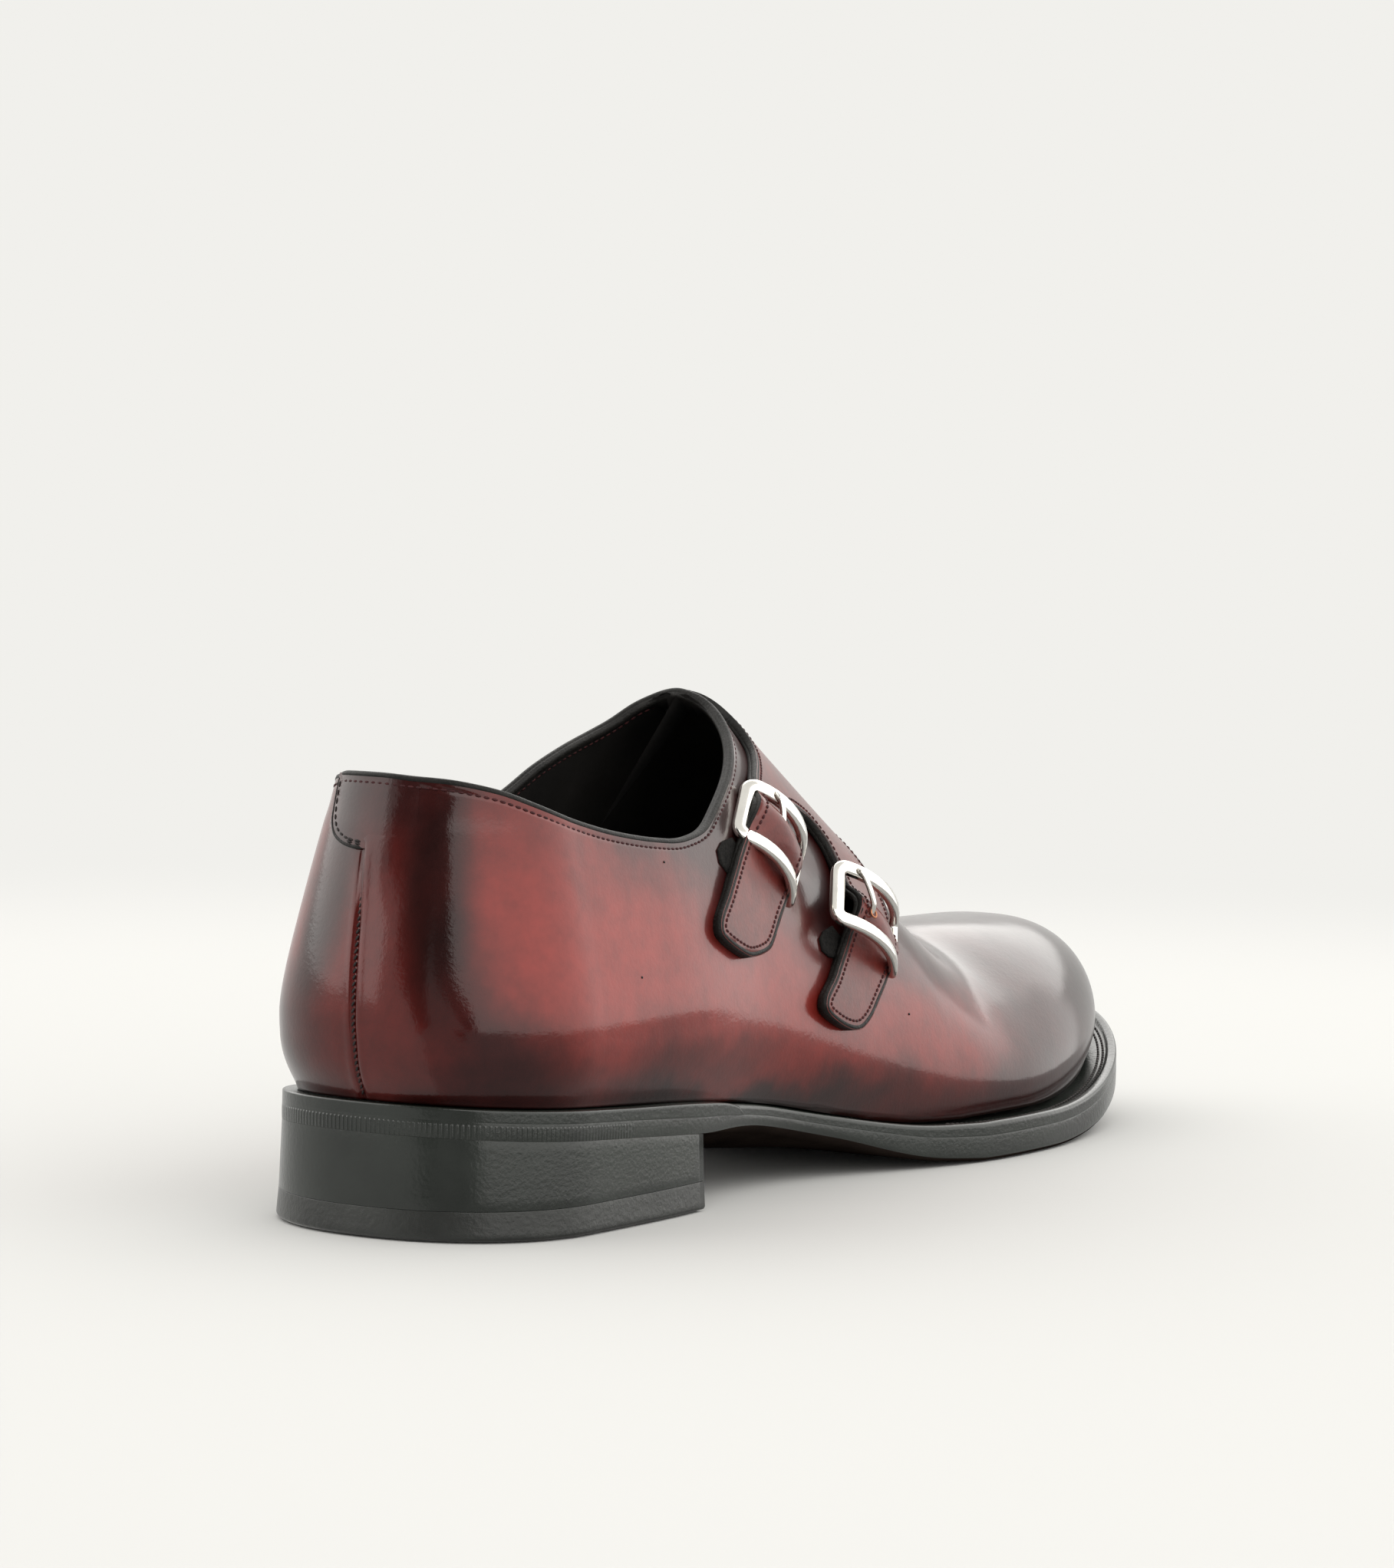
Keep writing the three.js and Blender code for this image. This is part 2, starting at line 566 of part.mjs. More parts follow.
function buildOutsole() {
  const from = -heelCentreToBack;
  const ring = (inset, height) => ({ stations: soleOutline(inset, from, toeTipAt), height });
  return layer([
    ring(edgeRounding, soleBottom),
    ring(0, (x) => soleBottom(x) + edgeRounding),
    ring(0, (x) => outsoleTop(x)),
  ]);
}

function buildWelt() {
  const low = (x) => outsoleTop(x) + layerGap;
  const ring = (inset, height) => ({ stations: soleOutline(inset, weltStart, toeTipAt), height });
  return layer([
    ring(0.3, low),
    ring(0.3, (x) => soleTop(x) - edgeRounding),
    ring(0.3 + edgeRounding, soleTop),
  ]);
}

function buildRand() {
  const low = (x) => outsoleTop(x) + layerGap;
  const ring = (inset, height) => ({
    stations: endedAt(soleOutline(inset, -heelCentreToBack, breastAt + 5), randEnd, inset),
    height,
  });
  return layer([
    ring(0, low),
    ring(0, (x) => soleTop(x) - edgeRounding),
    ring(edgeRounding, soleTop),
  ]);
}

function stackTop(x) {
  const share = (x + heelCentreToBack) / (breastAt + heelCentreToBack);
  return stackTopAtBack + (stackTopAtBreast - stackTopAtBack) * share;
}

function buildHeelStack() {
  const ring = (inset, height) => ({
    stations: endedAt(soleOutline(inset, -heelCentreToBack - heelFlare, 31), breastAt, inset), height });
  return layer([
    ring(stackInset - 0.75 * heelFlare, () => topLiftThickness + layerGap),
    ring(stackInset, (x) => stackTop(x) - layerGap),
  ]);
}

function buildTopLift() {
  const ring = (inset, height) => ({
    stations: endedAt(soleOutline(inset, -heelCentreToBack - heelFlare, 31), breastAt, inset), height });
  return layer([
    ring(edgeRounding - heelFlare, () => 0),
    ring(-heelFlare, () => edgeRounding),
    ring(stackInset - 0.75 * heelFlare, () => topLiftThickness),
  ]);
}

// Insole inside the wall of the upper
function insoleOutline(inset) {
  const places = [];
  for (let i = 0; i < 6; i++) places.push(i / 6);
  for (let i = 0; i <= 22; i++) places.push(1 + i / 22);
  return places.map((u) => {
    const lateral = lastPoint(u, -1, 0, -upperWall - inset);
    const medial = lastPoint(u, 1, 0, -upperWall - inset);
    const drift = Math.min(Math.max((lateral[0] - tipShiftStart) / (featherTipAt - tipShiftStart), 0), 1);
    const centre = tipShift * drift ** 1.5;
    return { x: lateral[0], lateral: centre - lateral[1], medial: medial[1] - centre, centre };
  });
}

function buildInsole() {
  const stations = insoleOutline(0.4);
  return layer([
    { stations, height: (x) => soleTop(x) + layerGap },
    { stations, height: (x) => soleTop(x) + layerGap + insoleThickness },
  ]);
}

// A named mesh from a solid
function piece(name, body, look) {
  const mesh = body.getMesh();
  const geometry = new THREE.BufferGeometry();
  geometry.setAttribute("position", new THREE.BufferAttribute(mesh.vertProperties, 3));
  geometry.setIndex(new THREE.BufferAttribute(mesh.triVerts, 1));
  geometry.computeVertexNormals();
  const made = new THREE.Mesh(geometry, new THREE.MeshStandardMaterial(look));
  made.name = name;
  return made;
}

const shoe = new THREE.Group();
shoe.add(piece("heel_top_lift", buildTopLift(), rubber));
shoe.add(piece("heel_stack", buildHeelStack(), soleEdge));
shoe.add(piece("outsole", buildOutsole(), outsoleLook));
shoe.add(piece("heel_rand", buildRand(), soleEdge));
shoe.add(piece("welt", buildWelt(), soleEdge));
shoe.add(piece("insole", buildInsole(), insoleLook));
shoe.add(piece("upper", buildUpper(), leather));
shoe.add(piece("strap_flap", buildFlap(), leatherFlap));
shoe.add(piece("buckle_frame_rear", buildFrame(rearFrame), copperMetal));
shoe.add(piece("buckle_frame_front", buildFrame(frontFrame), copperMetal));
shoe.add(piece("buckle_prong_rear", buildProng(rearProng), copperMetal));
shoe.add(piece("buckle_prong_front", buildProng(frontProng), copperMetal));
shoe.add(piece("buckle_loop_rear", buildLoop(rearLoop), elastic));
shoe.add(piece("buckle_loop_front", buildLoop(frontLoop), elastic));

export default shoe;
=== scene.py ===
import bpy
import bmesh
import math
import numpy as np
from mathutils import Vector, Matrix


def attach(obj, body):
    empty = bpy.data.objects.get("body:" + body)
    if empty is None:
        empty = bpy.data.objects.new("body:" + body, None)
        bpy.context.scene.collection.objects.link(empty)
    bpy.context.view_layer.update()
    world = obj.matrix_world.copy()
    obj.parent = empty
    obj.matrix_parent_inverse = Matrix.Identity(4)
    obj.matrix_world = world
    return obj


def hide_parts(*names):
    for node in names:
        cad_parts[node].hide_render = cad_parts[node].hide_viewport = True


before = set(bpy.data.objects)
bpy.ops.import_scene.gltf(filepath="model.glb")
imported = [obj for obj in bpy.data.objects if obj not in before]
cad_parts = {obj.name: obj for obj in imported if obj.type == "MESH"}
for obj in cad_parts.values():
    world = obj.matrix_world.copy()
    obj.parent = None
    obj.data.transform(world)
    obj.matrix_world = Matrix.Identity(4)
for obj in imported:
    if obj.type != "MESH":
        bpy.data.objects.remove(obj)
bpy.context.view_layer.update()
mm = 0.001
print("frame loaded")

# The shoe's own sizes in millimetres, the same as in its solids
shoeSizes = {
    "soleLength": 300.0,
    "ballWidth": 97.0,
    "instepHeight": 100.0,
    "heelHeight": 26.0,
    "heelBack": -33.75,
    "heelHalfWidth": 34.823,
    "heelRoundness": 2.2,
    "breast": 41.61,
    "toeTip": 266.25,
    "toeRoundStart": 174.0,
    "toeRoundAlong": 2.0,
    "toeRoundAcross": 2.2,
    "toeShift": 3.007,
    "flatStart": 148.0,
    "flatEnd": 180.0,
    "toeSpring": 17.0,
    "toeSpringPower": 1.9,
    "layerGap": 0.3,
    "upperWall": 2.0,
}

lastSizes = {
    "heelRadius": 31.8,
    "heelRoundness": 2.15,
    "tip": 259.0,
    "toeStart": 175.0,
    "toeAlong": 1.835,
    "toeAcross": 2.17,
    "noseStart": 200.0,
    "noseAlong": 2.65,
    "noseAcross": 1.96,
    "bulgeHeel": 15.0,
    "bulgeFore": 20.0,
    "bulgeTopShare": 0.33,
    "bulgeBlend": 60.0,
    "tipShift": 3.007,
    "tipShiftStart": 150.0,
    "crestEnd": 236.0,
    "throatShare": 0.3095,
}

# Sections of the last: place from the heel's middle, then shares of the ball width and instep height
lastSections = {
    "at": [0.0, 0.14, 0.2333, 0.3167, 0.4, 0.4833, 0.5667, 0.65, 0.7333, 0.8633],
    "lateral": [0.326, 0.33, 0.325, 0.34, 0.366, 0.402, 0.4227, 0.428, 0.428, 0.428],
    "medial": [0.326, 0.309, 0.2835, 0.294, 0.34, 0.397, 0.443, 0.4485, 0.4485, 0.4485],
    "crest": [1.15, 1.04, 1.01, 0.889, 0.77, 0.599, 0.4, 0.374, 0.3566, 0.379],
    "shift": [0.0, 0.01, 0.021, 0.041, 0.0515, 0.0515, 0.041, 0.021, 0.0, 0.0],
    "side": [2.0, 2.0, 2.0, 1.9, 1.9, 2.0, 2.2, 2.4, 2.5, 2.5],
    "top": [1.6, 1.95, 2.0, 1.97, 1.93, 1.88, 2.03, 2.16, 2.25, 2.35],
    "lateralBulge": [0.0443, 0.0474, 0.0433, 0.0412, 0.0361, 0.031, 0.028, 0.028, 0.028, 0.028],
    "medialBulge": [0.0443, 0.0412, 0.034, 0.031, 0.031, 0.031, 0.03, 0.03, 0.03, 0.03],
}

soleSections = {
    "at": [0.0, 0.14, 0.2833, 0.3833, 0.5067, 0.6067, 0.7, 0.8875],
    "lateral": [0.359, 0.36, 0.332, 0.388, 0.4804, 0.4907, 0.4907, 0.4907],
    "medial": [0.359, 0.325, 0.2474, 0.319, 0.464, 0.5155, 0.522, 0.522],
}

waistRise = {
    "at": [-0.1125, 0.1387, 0.2333, 0.3333, 0.4333, 0.4933],
    "height": [0.8038, 0.6115, 0.496, 0.2846, 0.0577, 0.0],
}

edgeThickness = {
    "at": [-0.1125, 0.1387, 0.3333, 0.4333, 0.52, 0.9],
    "height": [0.2346, 0.2346, 0.25, 0.304, 0.335, 0.335],
}

topline = {
    "at": [-0.17, -0.085, -0.06, -0.0317, 0.0073, 0.054, 0.1037, 0.1313, 0.1627, 0.1767, 0.2077,
           0.24, 0.265, 0.283, 0.297, 0.307, 0.31],
    "lateral": [0.305, 0.306, 0.3, 0.289, 0.276, 0.2653, 0.2583, 0.2563, 0.2593, 0.2625, 0.2787,
                0.297, 0.3125, 0.325, 0.337, 0.35, 0.4],
    "medial": [0.305, 0.306, 0.303, 0.2955, 0.284, 0.272, 0.2655, 0.266, 0.2725, 0.2785, 0.2965,
               0.3105, 0.32, 0.3285, 0.341, 0.351, 0.4],
}


def naturalSpline(xs, ys):  # smooth curve with a continuous bend
    xs, ys = np.array(xs, float), np.array(ys, float)
    n = len(xs)
    gaps = np.diff(xs)
    matrix = np.eye(n)
    right = np.zeros(n)
    for i in range(1, n - 1):
        matrix[i, i - 1], matrix[i, i], matrix[i, i + 1] = gaps[i - 1], 2 * (gaps[i - 1] + gaps[i]), gaps[i]
        right[i] = 6 * ((ys[i + 1] - ys[i]) / gaps[i] - (ys[i] - ys[i - 1]) / gaps[i - 1])
    bend = np.linalg.solve(matrix, right)

    def read(value):
        x = min(max(value, xs[0]), xs[-1])
        k = min(max(int(np.searchsorted(xs, x, side="right")) - 1, 0), n - 2)
        h = gaps[k]
        a = (xs[k + 1] - x) / h
        b = 1 - a
        return float(a * ys[k] + b * ys[k + 1]
                     + ((a ** 3 - a) * bend[k] + (b ** 3 - b) * bend[k + 1]) * h * h / 6)
    return read


def steadyCurve(xs, ys):  # curve that never overshoots its points
    xs, ys = [float(v) for v in xs], [float(v) for v in ys]
    last = len(xs) - 1
    slope = [(ys[i + 1] - ys[i]) / (xs[i + 1] - xs[i]) for i in range(last)]
    tangent = [slope[0]]
    for i in range(1, last):
        product = slope[i - 1] * slope[i]
        tangent.append(0.0 if product <= 0 else 2 * product / (slope[i - 1] + slope[i]))
    tangent.append(slope[-1])

    def read(value):
        x = min(max(value, xs[0]), xs[-1])
        k = 0
        while k < last - 1 and x > xs[k + 1]:
            k += 1
        h = xs[k + 1] - xs[k]
        t = (x - xs[k]) / h
        return (ys[k] * (1 + 2 * t) * (1 - t) ** 2 + h * tangent[k] * t * (1 - t) ** 2
                + ys[k + 1] * t * t * (3 - 2 * t) + h * tangent[k + 1] * t * t * (t - 1))
    return read


def tableCurve(table, name, size, curve):
    places = [a * shoeSizes["soleLength"] for a in table["at"]]
    return curve(places, [v * size for v in table[name]])


ballWidth = shoeSizes["ballWidth"]
lastLateral = tableCurve(lastSections, "lateral", ballWidth, naturalSpline)
lastMedial = tableCurve(lastSections, "medial", ballWidth, naturalSpline)
lastCrest = tableCurve(lastSections, "crest", shoeSizes["instepHeight"], naturalSpline)
lastShift = tableCurve(lastSections, "shift", ballWidth, naturalSpline)
lastSide = tableCurve(lastSections, "side", 1, steadyCurve)
lastTop = tableCurve(lastSections, "top", 1, steadyCurve)
lastLateralBulge = tableCurve(lastSections, "lateralBulge", ballWidth, steadyCurve)
lastMedialBulge = tableCurve(lastSections, "medialBulge", ballWidth, steadyCurve)
soleLateral = tableCurve(soleSections, "lateral", ballWidth, naturalSpline)
soleMedial = tableCurve(soleSections, "medial", ballWidth, naturalSpline)
waistHeight = tableCurve(waistRise, "height", shoeSizes["heelHeight"], steadyCurve)
edgeHeight = tableCurve(edgeThickness, "height", shoeSizes["heelHeight"], steadyCurve)
toplineLateral = tableCurve(topline, "lateral", shoeSizes["soleLength"], steadyCurve)
toplineMedial = tableCurve(topline, "medial", shoeSizes["soleLength"], steadyCurve)


def clamp(value):
    return min(max(value, 0.0), 1.0)


def smoothStep(low, high, value):
    t = clamp((value - low) / (high - low))
    return t * t * (3 - 2 * t)


def soleBottom(x):
    if x < shoeSizes["flatStart"]:
        return waistHeight(x)
    if x < shoeSizes["flatEnd"]:
        return 0.0
    share = (x - shoeSizes["flatEnd"]) / (shoeSizes["toeTip"] - shoeSizes["flatEnd"])
    return shoeSizes["toeSpring"] * share ** shoeSizes["toeSpringPower"]


def soleTop(x):
    return soleBottom(x) + edgeHeight(x)


def roundedEnd(share, along, across):
    return max(1 - clamp(share) ** along, 0.0) ** (1 / across)


def formPoint(planX, share, side, grow):
    # point of the last above a plan place; share is the distance from the middle line over the half width
    tip = lastSizes["tip"] + grow
    width = (lastLateral(planX) if side < 0 else lastMedial(planX)) + grow
    end = roundedEnd((planX - lastSizes["toeStart"]) / (tip - lastSizes["toeStart"]),
                     lastSizes["toeAlong"], lastSizes["toeAcross"])
    nose = roundedEnd((planX - lastSizes["noseStart"]) / (tip - lastSizes["noseStart"]),
                      lastSizes["noseAlong"], lastSizes["noseAcross"])
    crest = (lastCrest(planX) + grow) * nose
    height = crest * max(1 - share ** lastSide(planX), 0.0) ** (1 / lastTop(planX))
    blend = clamp(planX / lastSizes["bulgeBlend"])
    peak = min(lastSizes["bulgeHeel"] + (lastSizes["bulgeFore"] - lastSizes["bulgeHeel"]) * blend,
               lastSizes["bulgeTopShare"] * lastCrest(planX))
    swellShape = (height / peak * math.exp(1 - height / peak)) ** 1.4
    fade = max(1 - (height / max(crest, 1e-6)) ** 6, 0.0)
    swell = (lastLateralBulge(planX) if side < 0 else lastMedialBulge(planX)) * swellShape * fade
    push = (lastLateralBulge(planX) + lastMedialBulge(planX)) / 2 * swellShape
    forward = math.sqrt(max(1 - end * end, 0.0))
    rise = height / crest if crest > 0 else 0.0
    lean = lastShift(planX) * rise * rise * (3 - 2 * rise)
    drift = clamp((planX - lastSizes["tipShiftStart"]) / (lastSizes["tip"] - lastSizes["tipShiftStart"]))
    y = lastSizes["tipShift"] * drift ** 1.5 + lean + side * (share * width * end + swell * end)
    return Vector((planX + push * forward, y, soleTop(min(planX, shoeSizes["toeTip"]))
                   + shoeSizes["layerGap"] + height))


def heelPoint(turn, share, side, grow):
    # point of the round heel; turn runs from the back centre (0) to the side (1)
    angle = turn * math.pi / 2
    along = math.cos(angle) ** (2 / lastSizes["heelRoundness"])
    across = math.sin(angle) ** (2 / lastSizes["heelRoundness"])
    crest = lastCrest(0) + grow
    height = crest * max(1 - share ** lastSide(0), 0.0) ** (1 / lastTop(0))
    swellShape = (height / lastSizes["bulgeHeel"] * math.exp(1 - height / lastSizes["bulgeHeel"])) ** 1.4
    swell = lastLateralBulge(0) * swellShape * max(1 - (height / crest) ** 6, 0.0)
    radius = share * (lastSizes["heelRadius"] + grow) + swell
    width = share * (lastLateral(0) + grow) + swell
    return Vector((-along * radius, side * across * width,
                   soleTop(-lastSizes["heelRadius"] * along) + shoeSizes["layerGap"] + height))


def lastPoint(station, side, rise, grow):
    # station 0 to 1 is the heel's round, 1 to 2 the straight part, 2 to 3 the toe's round;
    # rise 0 is the feather line and 1 the crest
    share = math.cos(rise * math.pi / 2)
    if station < 1:
        return heelPoint(station, share ** (2 / lastSide(0)), side, grow)
    if station <= 2:
        planX = lastSizes["toeStart"] * (station - 1)
        return formPoint(planX, share ** (2 / lastSide(planX)), side, grow)
    angle = (station - 2) * math.pi / 2
    tip = lastSizes["tip"] + grow
    reach = (tip - lastSizes["toeStart"]) * math.sin(angle) ** (2 / lastSizes["toeAlong"])
    across = math.cos(angle) ** (2 / lastSizes["toeAcross"])
    edgeX = lastSizes["toeStart"] + reach
    crestX = lastSizes["toeStart"] + (lastSizes["crestEnd"] - lastSizes["toeStart"]) * (station - 2)
    planShare = share ** (2 / 2.4)
    planX = crestX + (edgeX - crestX) * planShare
    widthHere = lastLateral(planX) if side < 0 else lastMedial(planX)
    widthEdge = lastLateral(edgeX) if side < 0 else lastMedial(edgeX)
    end = roundedEnd((planX - lastSizes["toeStart"]) / (tip - lastSizes["toeStart"]),
                     lastSizes["toeAlong"], lastSizes["toeAcross"])
    if end < 1e-6:
        return formPoint(planX, 0.0 if across < 1e-6 else 1.0, side, grow)
    offset = planShare * (widthEdge + grow) * across
    return formPoint(planX, clamp(offset / ((widthHere + grow) * end)), side, grow)


def riseLimit(station, side):
    # how far up the form its top edge lies
    curve = toplineLateral if side < 0 else toplineMedial
    throatEnd = lastSizes["throatShare"] * shoeSizes["soleLength"]
    if station >= 1 and lastSizes["toeStart"] * (station - 1) >= throatEnd:
        return 1.0
    low, high = 0.0, 1.0
    for _ in range(30):
        middle = (low + high) / 2
        point = lastPoint(station, side, middle, 0)
        if point.z < curve(point.x):
            low = middle
        else:
            high = middle
    return low


print("last ready")

# Small helpers for making pieces


def smoothCurve(points, spacing, closed=False):  # points on a smooth curve through the given ones
    count = len(points)
    points = [Vector(p) for p in points]
    result = []
    spans = count if closed else count - 1
    for i in range(spans):
        before = points[(i - 1) % count] if closed or i > 0 else points[0] * 2 - points[1]
        start, end = points[i], points[(i + 1) % count]
        after = points[(i + 2) % count] if closed or i < spans - 1 else end * 2 - start
        t1 = max((start - before).length, 1e-6) ** 0.5
        t2 = t1 + max((end - start).length, 1e-6) ** 0.5
        t3 = t2 + max((after - end).length, 1e-6) ** 0.5
        steps = max(int(math.ceil((end - start).length / spacing)), 1)
        for k in range(steps):
            t = t1 + (t2 - t1) * k / steps
            a1 = before * ((t1 - t) / t1) + start * (t / t1)
            a2 = start * ((t2 - t) / (t2 - t1)) + end * ((t - t1) / (t2 - t1))
            a3 = end * ((t3 - t) / (t3 - t2)) + after * ((t - t2) / (t3 - t2))
            b1 = a1 * ((t2 - t) / t2) + a2 * (t / t2)
            b2 = a2 * ((t3 - t) / (t3 - t1)) + a3 * ((t - t1) / (t3 - t1))
            result.append(b1 * ((t2 - t) / (t2 - t1)) + b2 * ((t - t1) / (t2 - t1)))
    if not closed:
        result.append(points[-1].copy())
    return result


def evenLoop(points, spacing):  # the same closed curve with points at even distances
    loop = list(points) + [points[0]]
    lengths = [0.0]
    for i in range(1, len(loop)):
        lengths.append(lengths[-1] + (loop[i] - loop[i - 1]).length)
    count = max(int(round(lengths[-1] / spacing)), 3)
    result, k = [], 0
    for i in range(count):
        target = lengths[-1] * i / count
        while k < len(loop) - 2 and lengths[k + 1] < target:
            k += 1
        span = max(lengths[k + 1] - lengths[k], 1e-9)
        result.append(loop[k].lerp(loop[k + 1], clamp((target - lengths[k]) / span)))
    return result


def gridSurface(bm, columns, rows, place):
    # a grid of columns by rows points, each put where place(column, row) says
    made = bmesh.ops.create_grid(bm, x_segments=columns - 1, y_segments=rows - 1, size=1.0)
    verts = made["verts"]
    for vert in verts:
        column = round((vert.co.x + 1) / 2 * (columns - 1))
        row = round((vert.co.y + 1) / 2 * (rows - 1))
        vert.co = Vector(place(column, row)) * mm
    for face in {f for v in verts for f in v.link_faces}:
        face.smooth = True
    return verts


def cutIntoCells(bm, starts, ends, cell):  # cuts a flat outline both ways, so that it can follow the last
    for place, end, direction in zip(starts, ends, (Vector((1, 0, 0)), Vector((0, 1, 0)))):
        while place < end:
            bmesh.ops.bisect_plane(bm, geom=bm.verts[:] + bm.edges[:] + bm.faces[:], dist=0.00001,
                                   plane_co=direction * place, plane_no=direction)
            place += cell
    for face in bm.faces:
        face.smooth = True


def linkMesh(bm, name, materials):
    mesh = bpy.data.meshes.new(name)
    bm.to_mesh(mesh)
    bm.free()
    for material in materials:
        mesh.materials.append(material)
    piece = bpy.data.objects.new(name, mesh)
    bpy.context.scene.collection.objects.link(piece)
    return piece


def finishMesh(bm, name, materials, merge=0.00002):
    bmesh.ops.remove_doubles(bm, verts=bm.verts, dist=merge)
    bmesh.ops.dissolve_degenerate(bm, edges=bm.edges, dist=0.000002)
    bmesh.ops.recalc_face_normals(bm, faces=bm.faces)
    return linkMesh(bm, name, materials)


def sweepBand(bm, path, frames, profile, closed):
    # a profile carried along a path; each frame holds the two directions of the profile
    columns = len(path) + (1 if closed else 0)
    rows = len(profile) + 1

    def place(column, row):
        i = column % len(path)
        a, b = profile[row % len(profile)]
        return path[i] + frames[i][0] * a + frames[i][1] * b
    verts = gridSurface(bm, columns, rows, place)
    if not closed:
        bmesh.ops.remove_doubles(bm, verts=verts, dist=0.000001)
        edges = [e for v in bm.verts if v.is_boundary for e in v.link_edges if e.is_boundary]
        bmesh.ops.holes_fill(bm, edges=list(set(edges)), sides=0)
    return verts


def putPiece(piece, slotName, *nodes):
    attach(piece, "root")
    if nodes:
        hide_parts(*nodes)
    return piece


def stationOf(x):
    return 1 + x / lastSizes["toeStart"]


reach = 100.0  # across the last a place is 0 at the crest and this far at the feather


def onLast(x, across, grow):  # point at a plan place and a signed place from the crest, lateral below zero
    side = -1 if across < 0 else 1
    return lastPoint(stationOf(x), side, clamp(1 - abs(across) / reach), grow)


def acrossFromHeight(x, z, side, grow):  # the place from the crest where the surface has this height
    crest = lastCrest(x) + grow
    height = z - soleTop(x) - shoeSizes["layerGap"]
    if height >= crest:
        return 0.0
    rise = math.asin(clamp(height / crest) ** (lastTop(x) / 2)) * 2 / math.pi
    return side * (1 - rise) * reach


def normalOnLast(x, across, grow):
    step = 0.4
    along = onLast(x + step, across, grow) - onLast(x - step, across, grow)
    sideways = onLast(x, across + step, grow) - onLast(x, across - step, grow)
    normal = along.cross(sideways)
    outward = onLast(x, across, grow + 1) - onLast(x, across, grow)
    return normal.normalized() * (1 if normal.dot(outward) > 0 else -1)


# Materials


def newMaterial(name):
    material = bpy.data.materials.new(name)
    material.use_nodes = True
    nodes, links = material.node_tree.nodes, material.node_tree.links
    return material, nodes, links, nodes["Principled BSDF"]


def noiseNode(nodes, links, coords, scale, detail=3.0, roughness=0.55):
    node = nodes.new("ShaderNodeTexNoise")
    node.inputs["Scale"].default_value = scale
    node.inputs["Detail"].default_value = detail
    node.inputs["Roughness"].default_value = roughness
    links.new(coords, node.inputs["Vector"])
    return node.outputs["Fac"]


def rampNode(nodes, links, value, stops):
    node = nodes.new("ShaderNodeValToRGB")
    ramp = node.color_ramp
    ramp.elements[0].position, ramp.elements[0].color = stops[0][0], (*stops[0][1], 1)
    ramp.elements[1].position, ramp.elements[1].color = stops[-1][0], (*stops[-1][1], 1)
    for place, colour in stops[1:-1]:
        element = ramp.elements.new(place)
        element.color = (*colour, 1)
    links.new(value, node.inputs["Fac"])
    return node.outputs["Color"]


def rangeNode(nodes, links, value, low, high):
    node = nodes.new("ShaderNodeMapRange")
    node.inputs["To Min"].default_value = low
    node.inputs["To Max"].default_value = high
    links.new(value, node.inputs["Value"])
    return node.outputs["Result"]


def bumpNode(nodes, links, height, strength, distance, below=None):
    node = nodes.new("ShaderNodeBump")
    node.inputs["Strength"].default_value = strength
    node.inputs["Distance"].default_value = distance
    links.new(height, node.inputs["Height"])
    if below is not None:
        links.new(below, node.inputs["Normal"])
    return node.outputs["Normal"]


def mixNode(nodes, links, share, first, second, mode="MIX"):
    node = nodes.new("ShaderNodeMix")
    node.data_type = "RGBA"
    node.blend_type = mode
    if isinstance(share, float):
        node.inputs["Factor"].default_value = share
    else:
        links.new(share, node.inputs["Factor"])
    for socket, value in (("A", first), ("B", second)):
        target = [s for s in node.inputs if s.name == socket and s.type == "RGBA"][0]
        if isinstance(value, tuple):
            target.default_value = (*value, 1)
        else:
            links.new(value, target)
    return [s for s in node.outputs if s.type == "RGBA"][0]


leatherLook = {
    "base": (0.025, 0.0031, 0.0028),
    "bright": (0.172, 0.0165, 0.0120),
    "warm": (0.132, 0.0100, 0.0065),
    "deep": (0.009, 0.0016, 0.0014),
    "grainScale": 1150.0,
    "roughness": (0.32, 0.44),
    "sheenOfColour": 0.42,
    "specular": 0.14,
    "coat": 0.62,
    "coatRoughness": 0.10,
}

# Clouds of colour rubbed into the leather, in millimetres: middle, radii and how strong they are. The two low
# deep bands along the welt are partly this colour and partly painted shade.
brightClouds = [
    ((12, 30, 54), (50, 40, 34), 1.0),
    ((60, 34, 40), (52, 40, 26), 0.95),
    ((-14, 24, 62), (22, 26, 24), 0.5),
    ((-12, 26, 74), (32, 30, 24), 0.5),
]
warmClouds = [
    ((112, 36, 28), (72, 34, 24), 1.0),
    ((150, 40, 28), (42, 30, 18), 0.55),
    ((-30, 0, 50), (24, 30, 44), 0.45),
    ((86, 34, 52), (20, 20, 16), 0.35),
]
deepCloudsAndPaintedShade = [
    ((48, 30, 82), (40, 60, 11), 0.45),
    ((232, 0, 34), (62, 70, 52), 0.85),
    # These two low bands along the welt are partly burnished colour and partly painted shade: the welt's dark
    # reflection and the contact shade.
    ((40, 34, 17), (150, 60, 11), 0.95),
    ((-34, 0, 20), (40, 60, 11), 0.9),
    ((52, 36, 31), (34, 20, 7), 0.4),
]
# Darkest colour on the corners of the heel, with plain edges: painted shade where the dark reflection streaks
# fall
heelPaintedShade = [
    ((-28.5, 13, 72), (13, 11, 36), 0.82),
    ((-28.0, 15, 52), (10, 9, 22), 0.6),
]


def cloudNode(nodes, links, coords, middle, radii):  # 1 at the middle and 0 at the edge of an oval cloud
    mapping = nodes.new("ShaderNodeMapping")
    mapping.vector_type = "TEXTURE"
    mapping.inputs["Location"].default_value = [v * mm for v in middle]
    mapping.inputs["Scale"].default_value = [v * mm for v in radii]
    links.new(coords, mapping.inputs["Vector"])
    gradient = nodes.new("ShaderNodeTexGradient")
    gradient.gradient_type = "SPHERICAL"
    links.new(mapping.outputs["Vector"], gradient.inputs["Vector"])
    return gradient.outputs["Fac"]


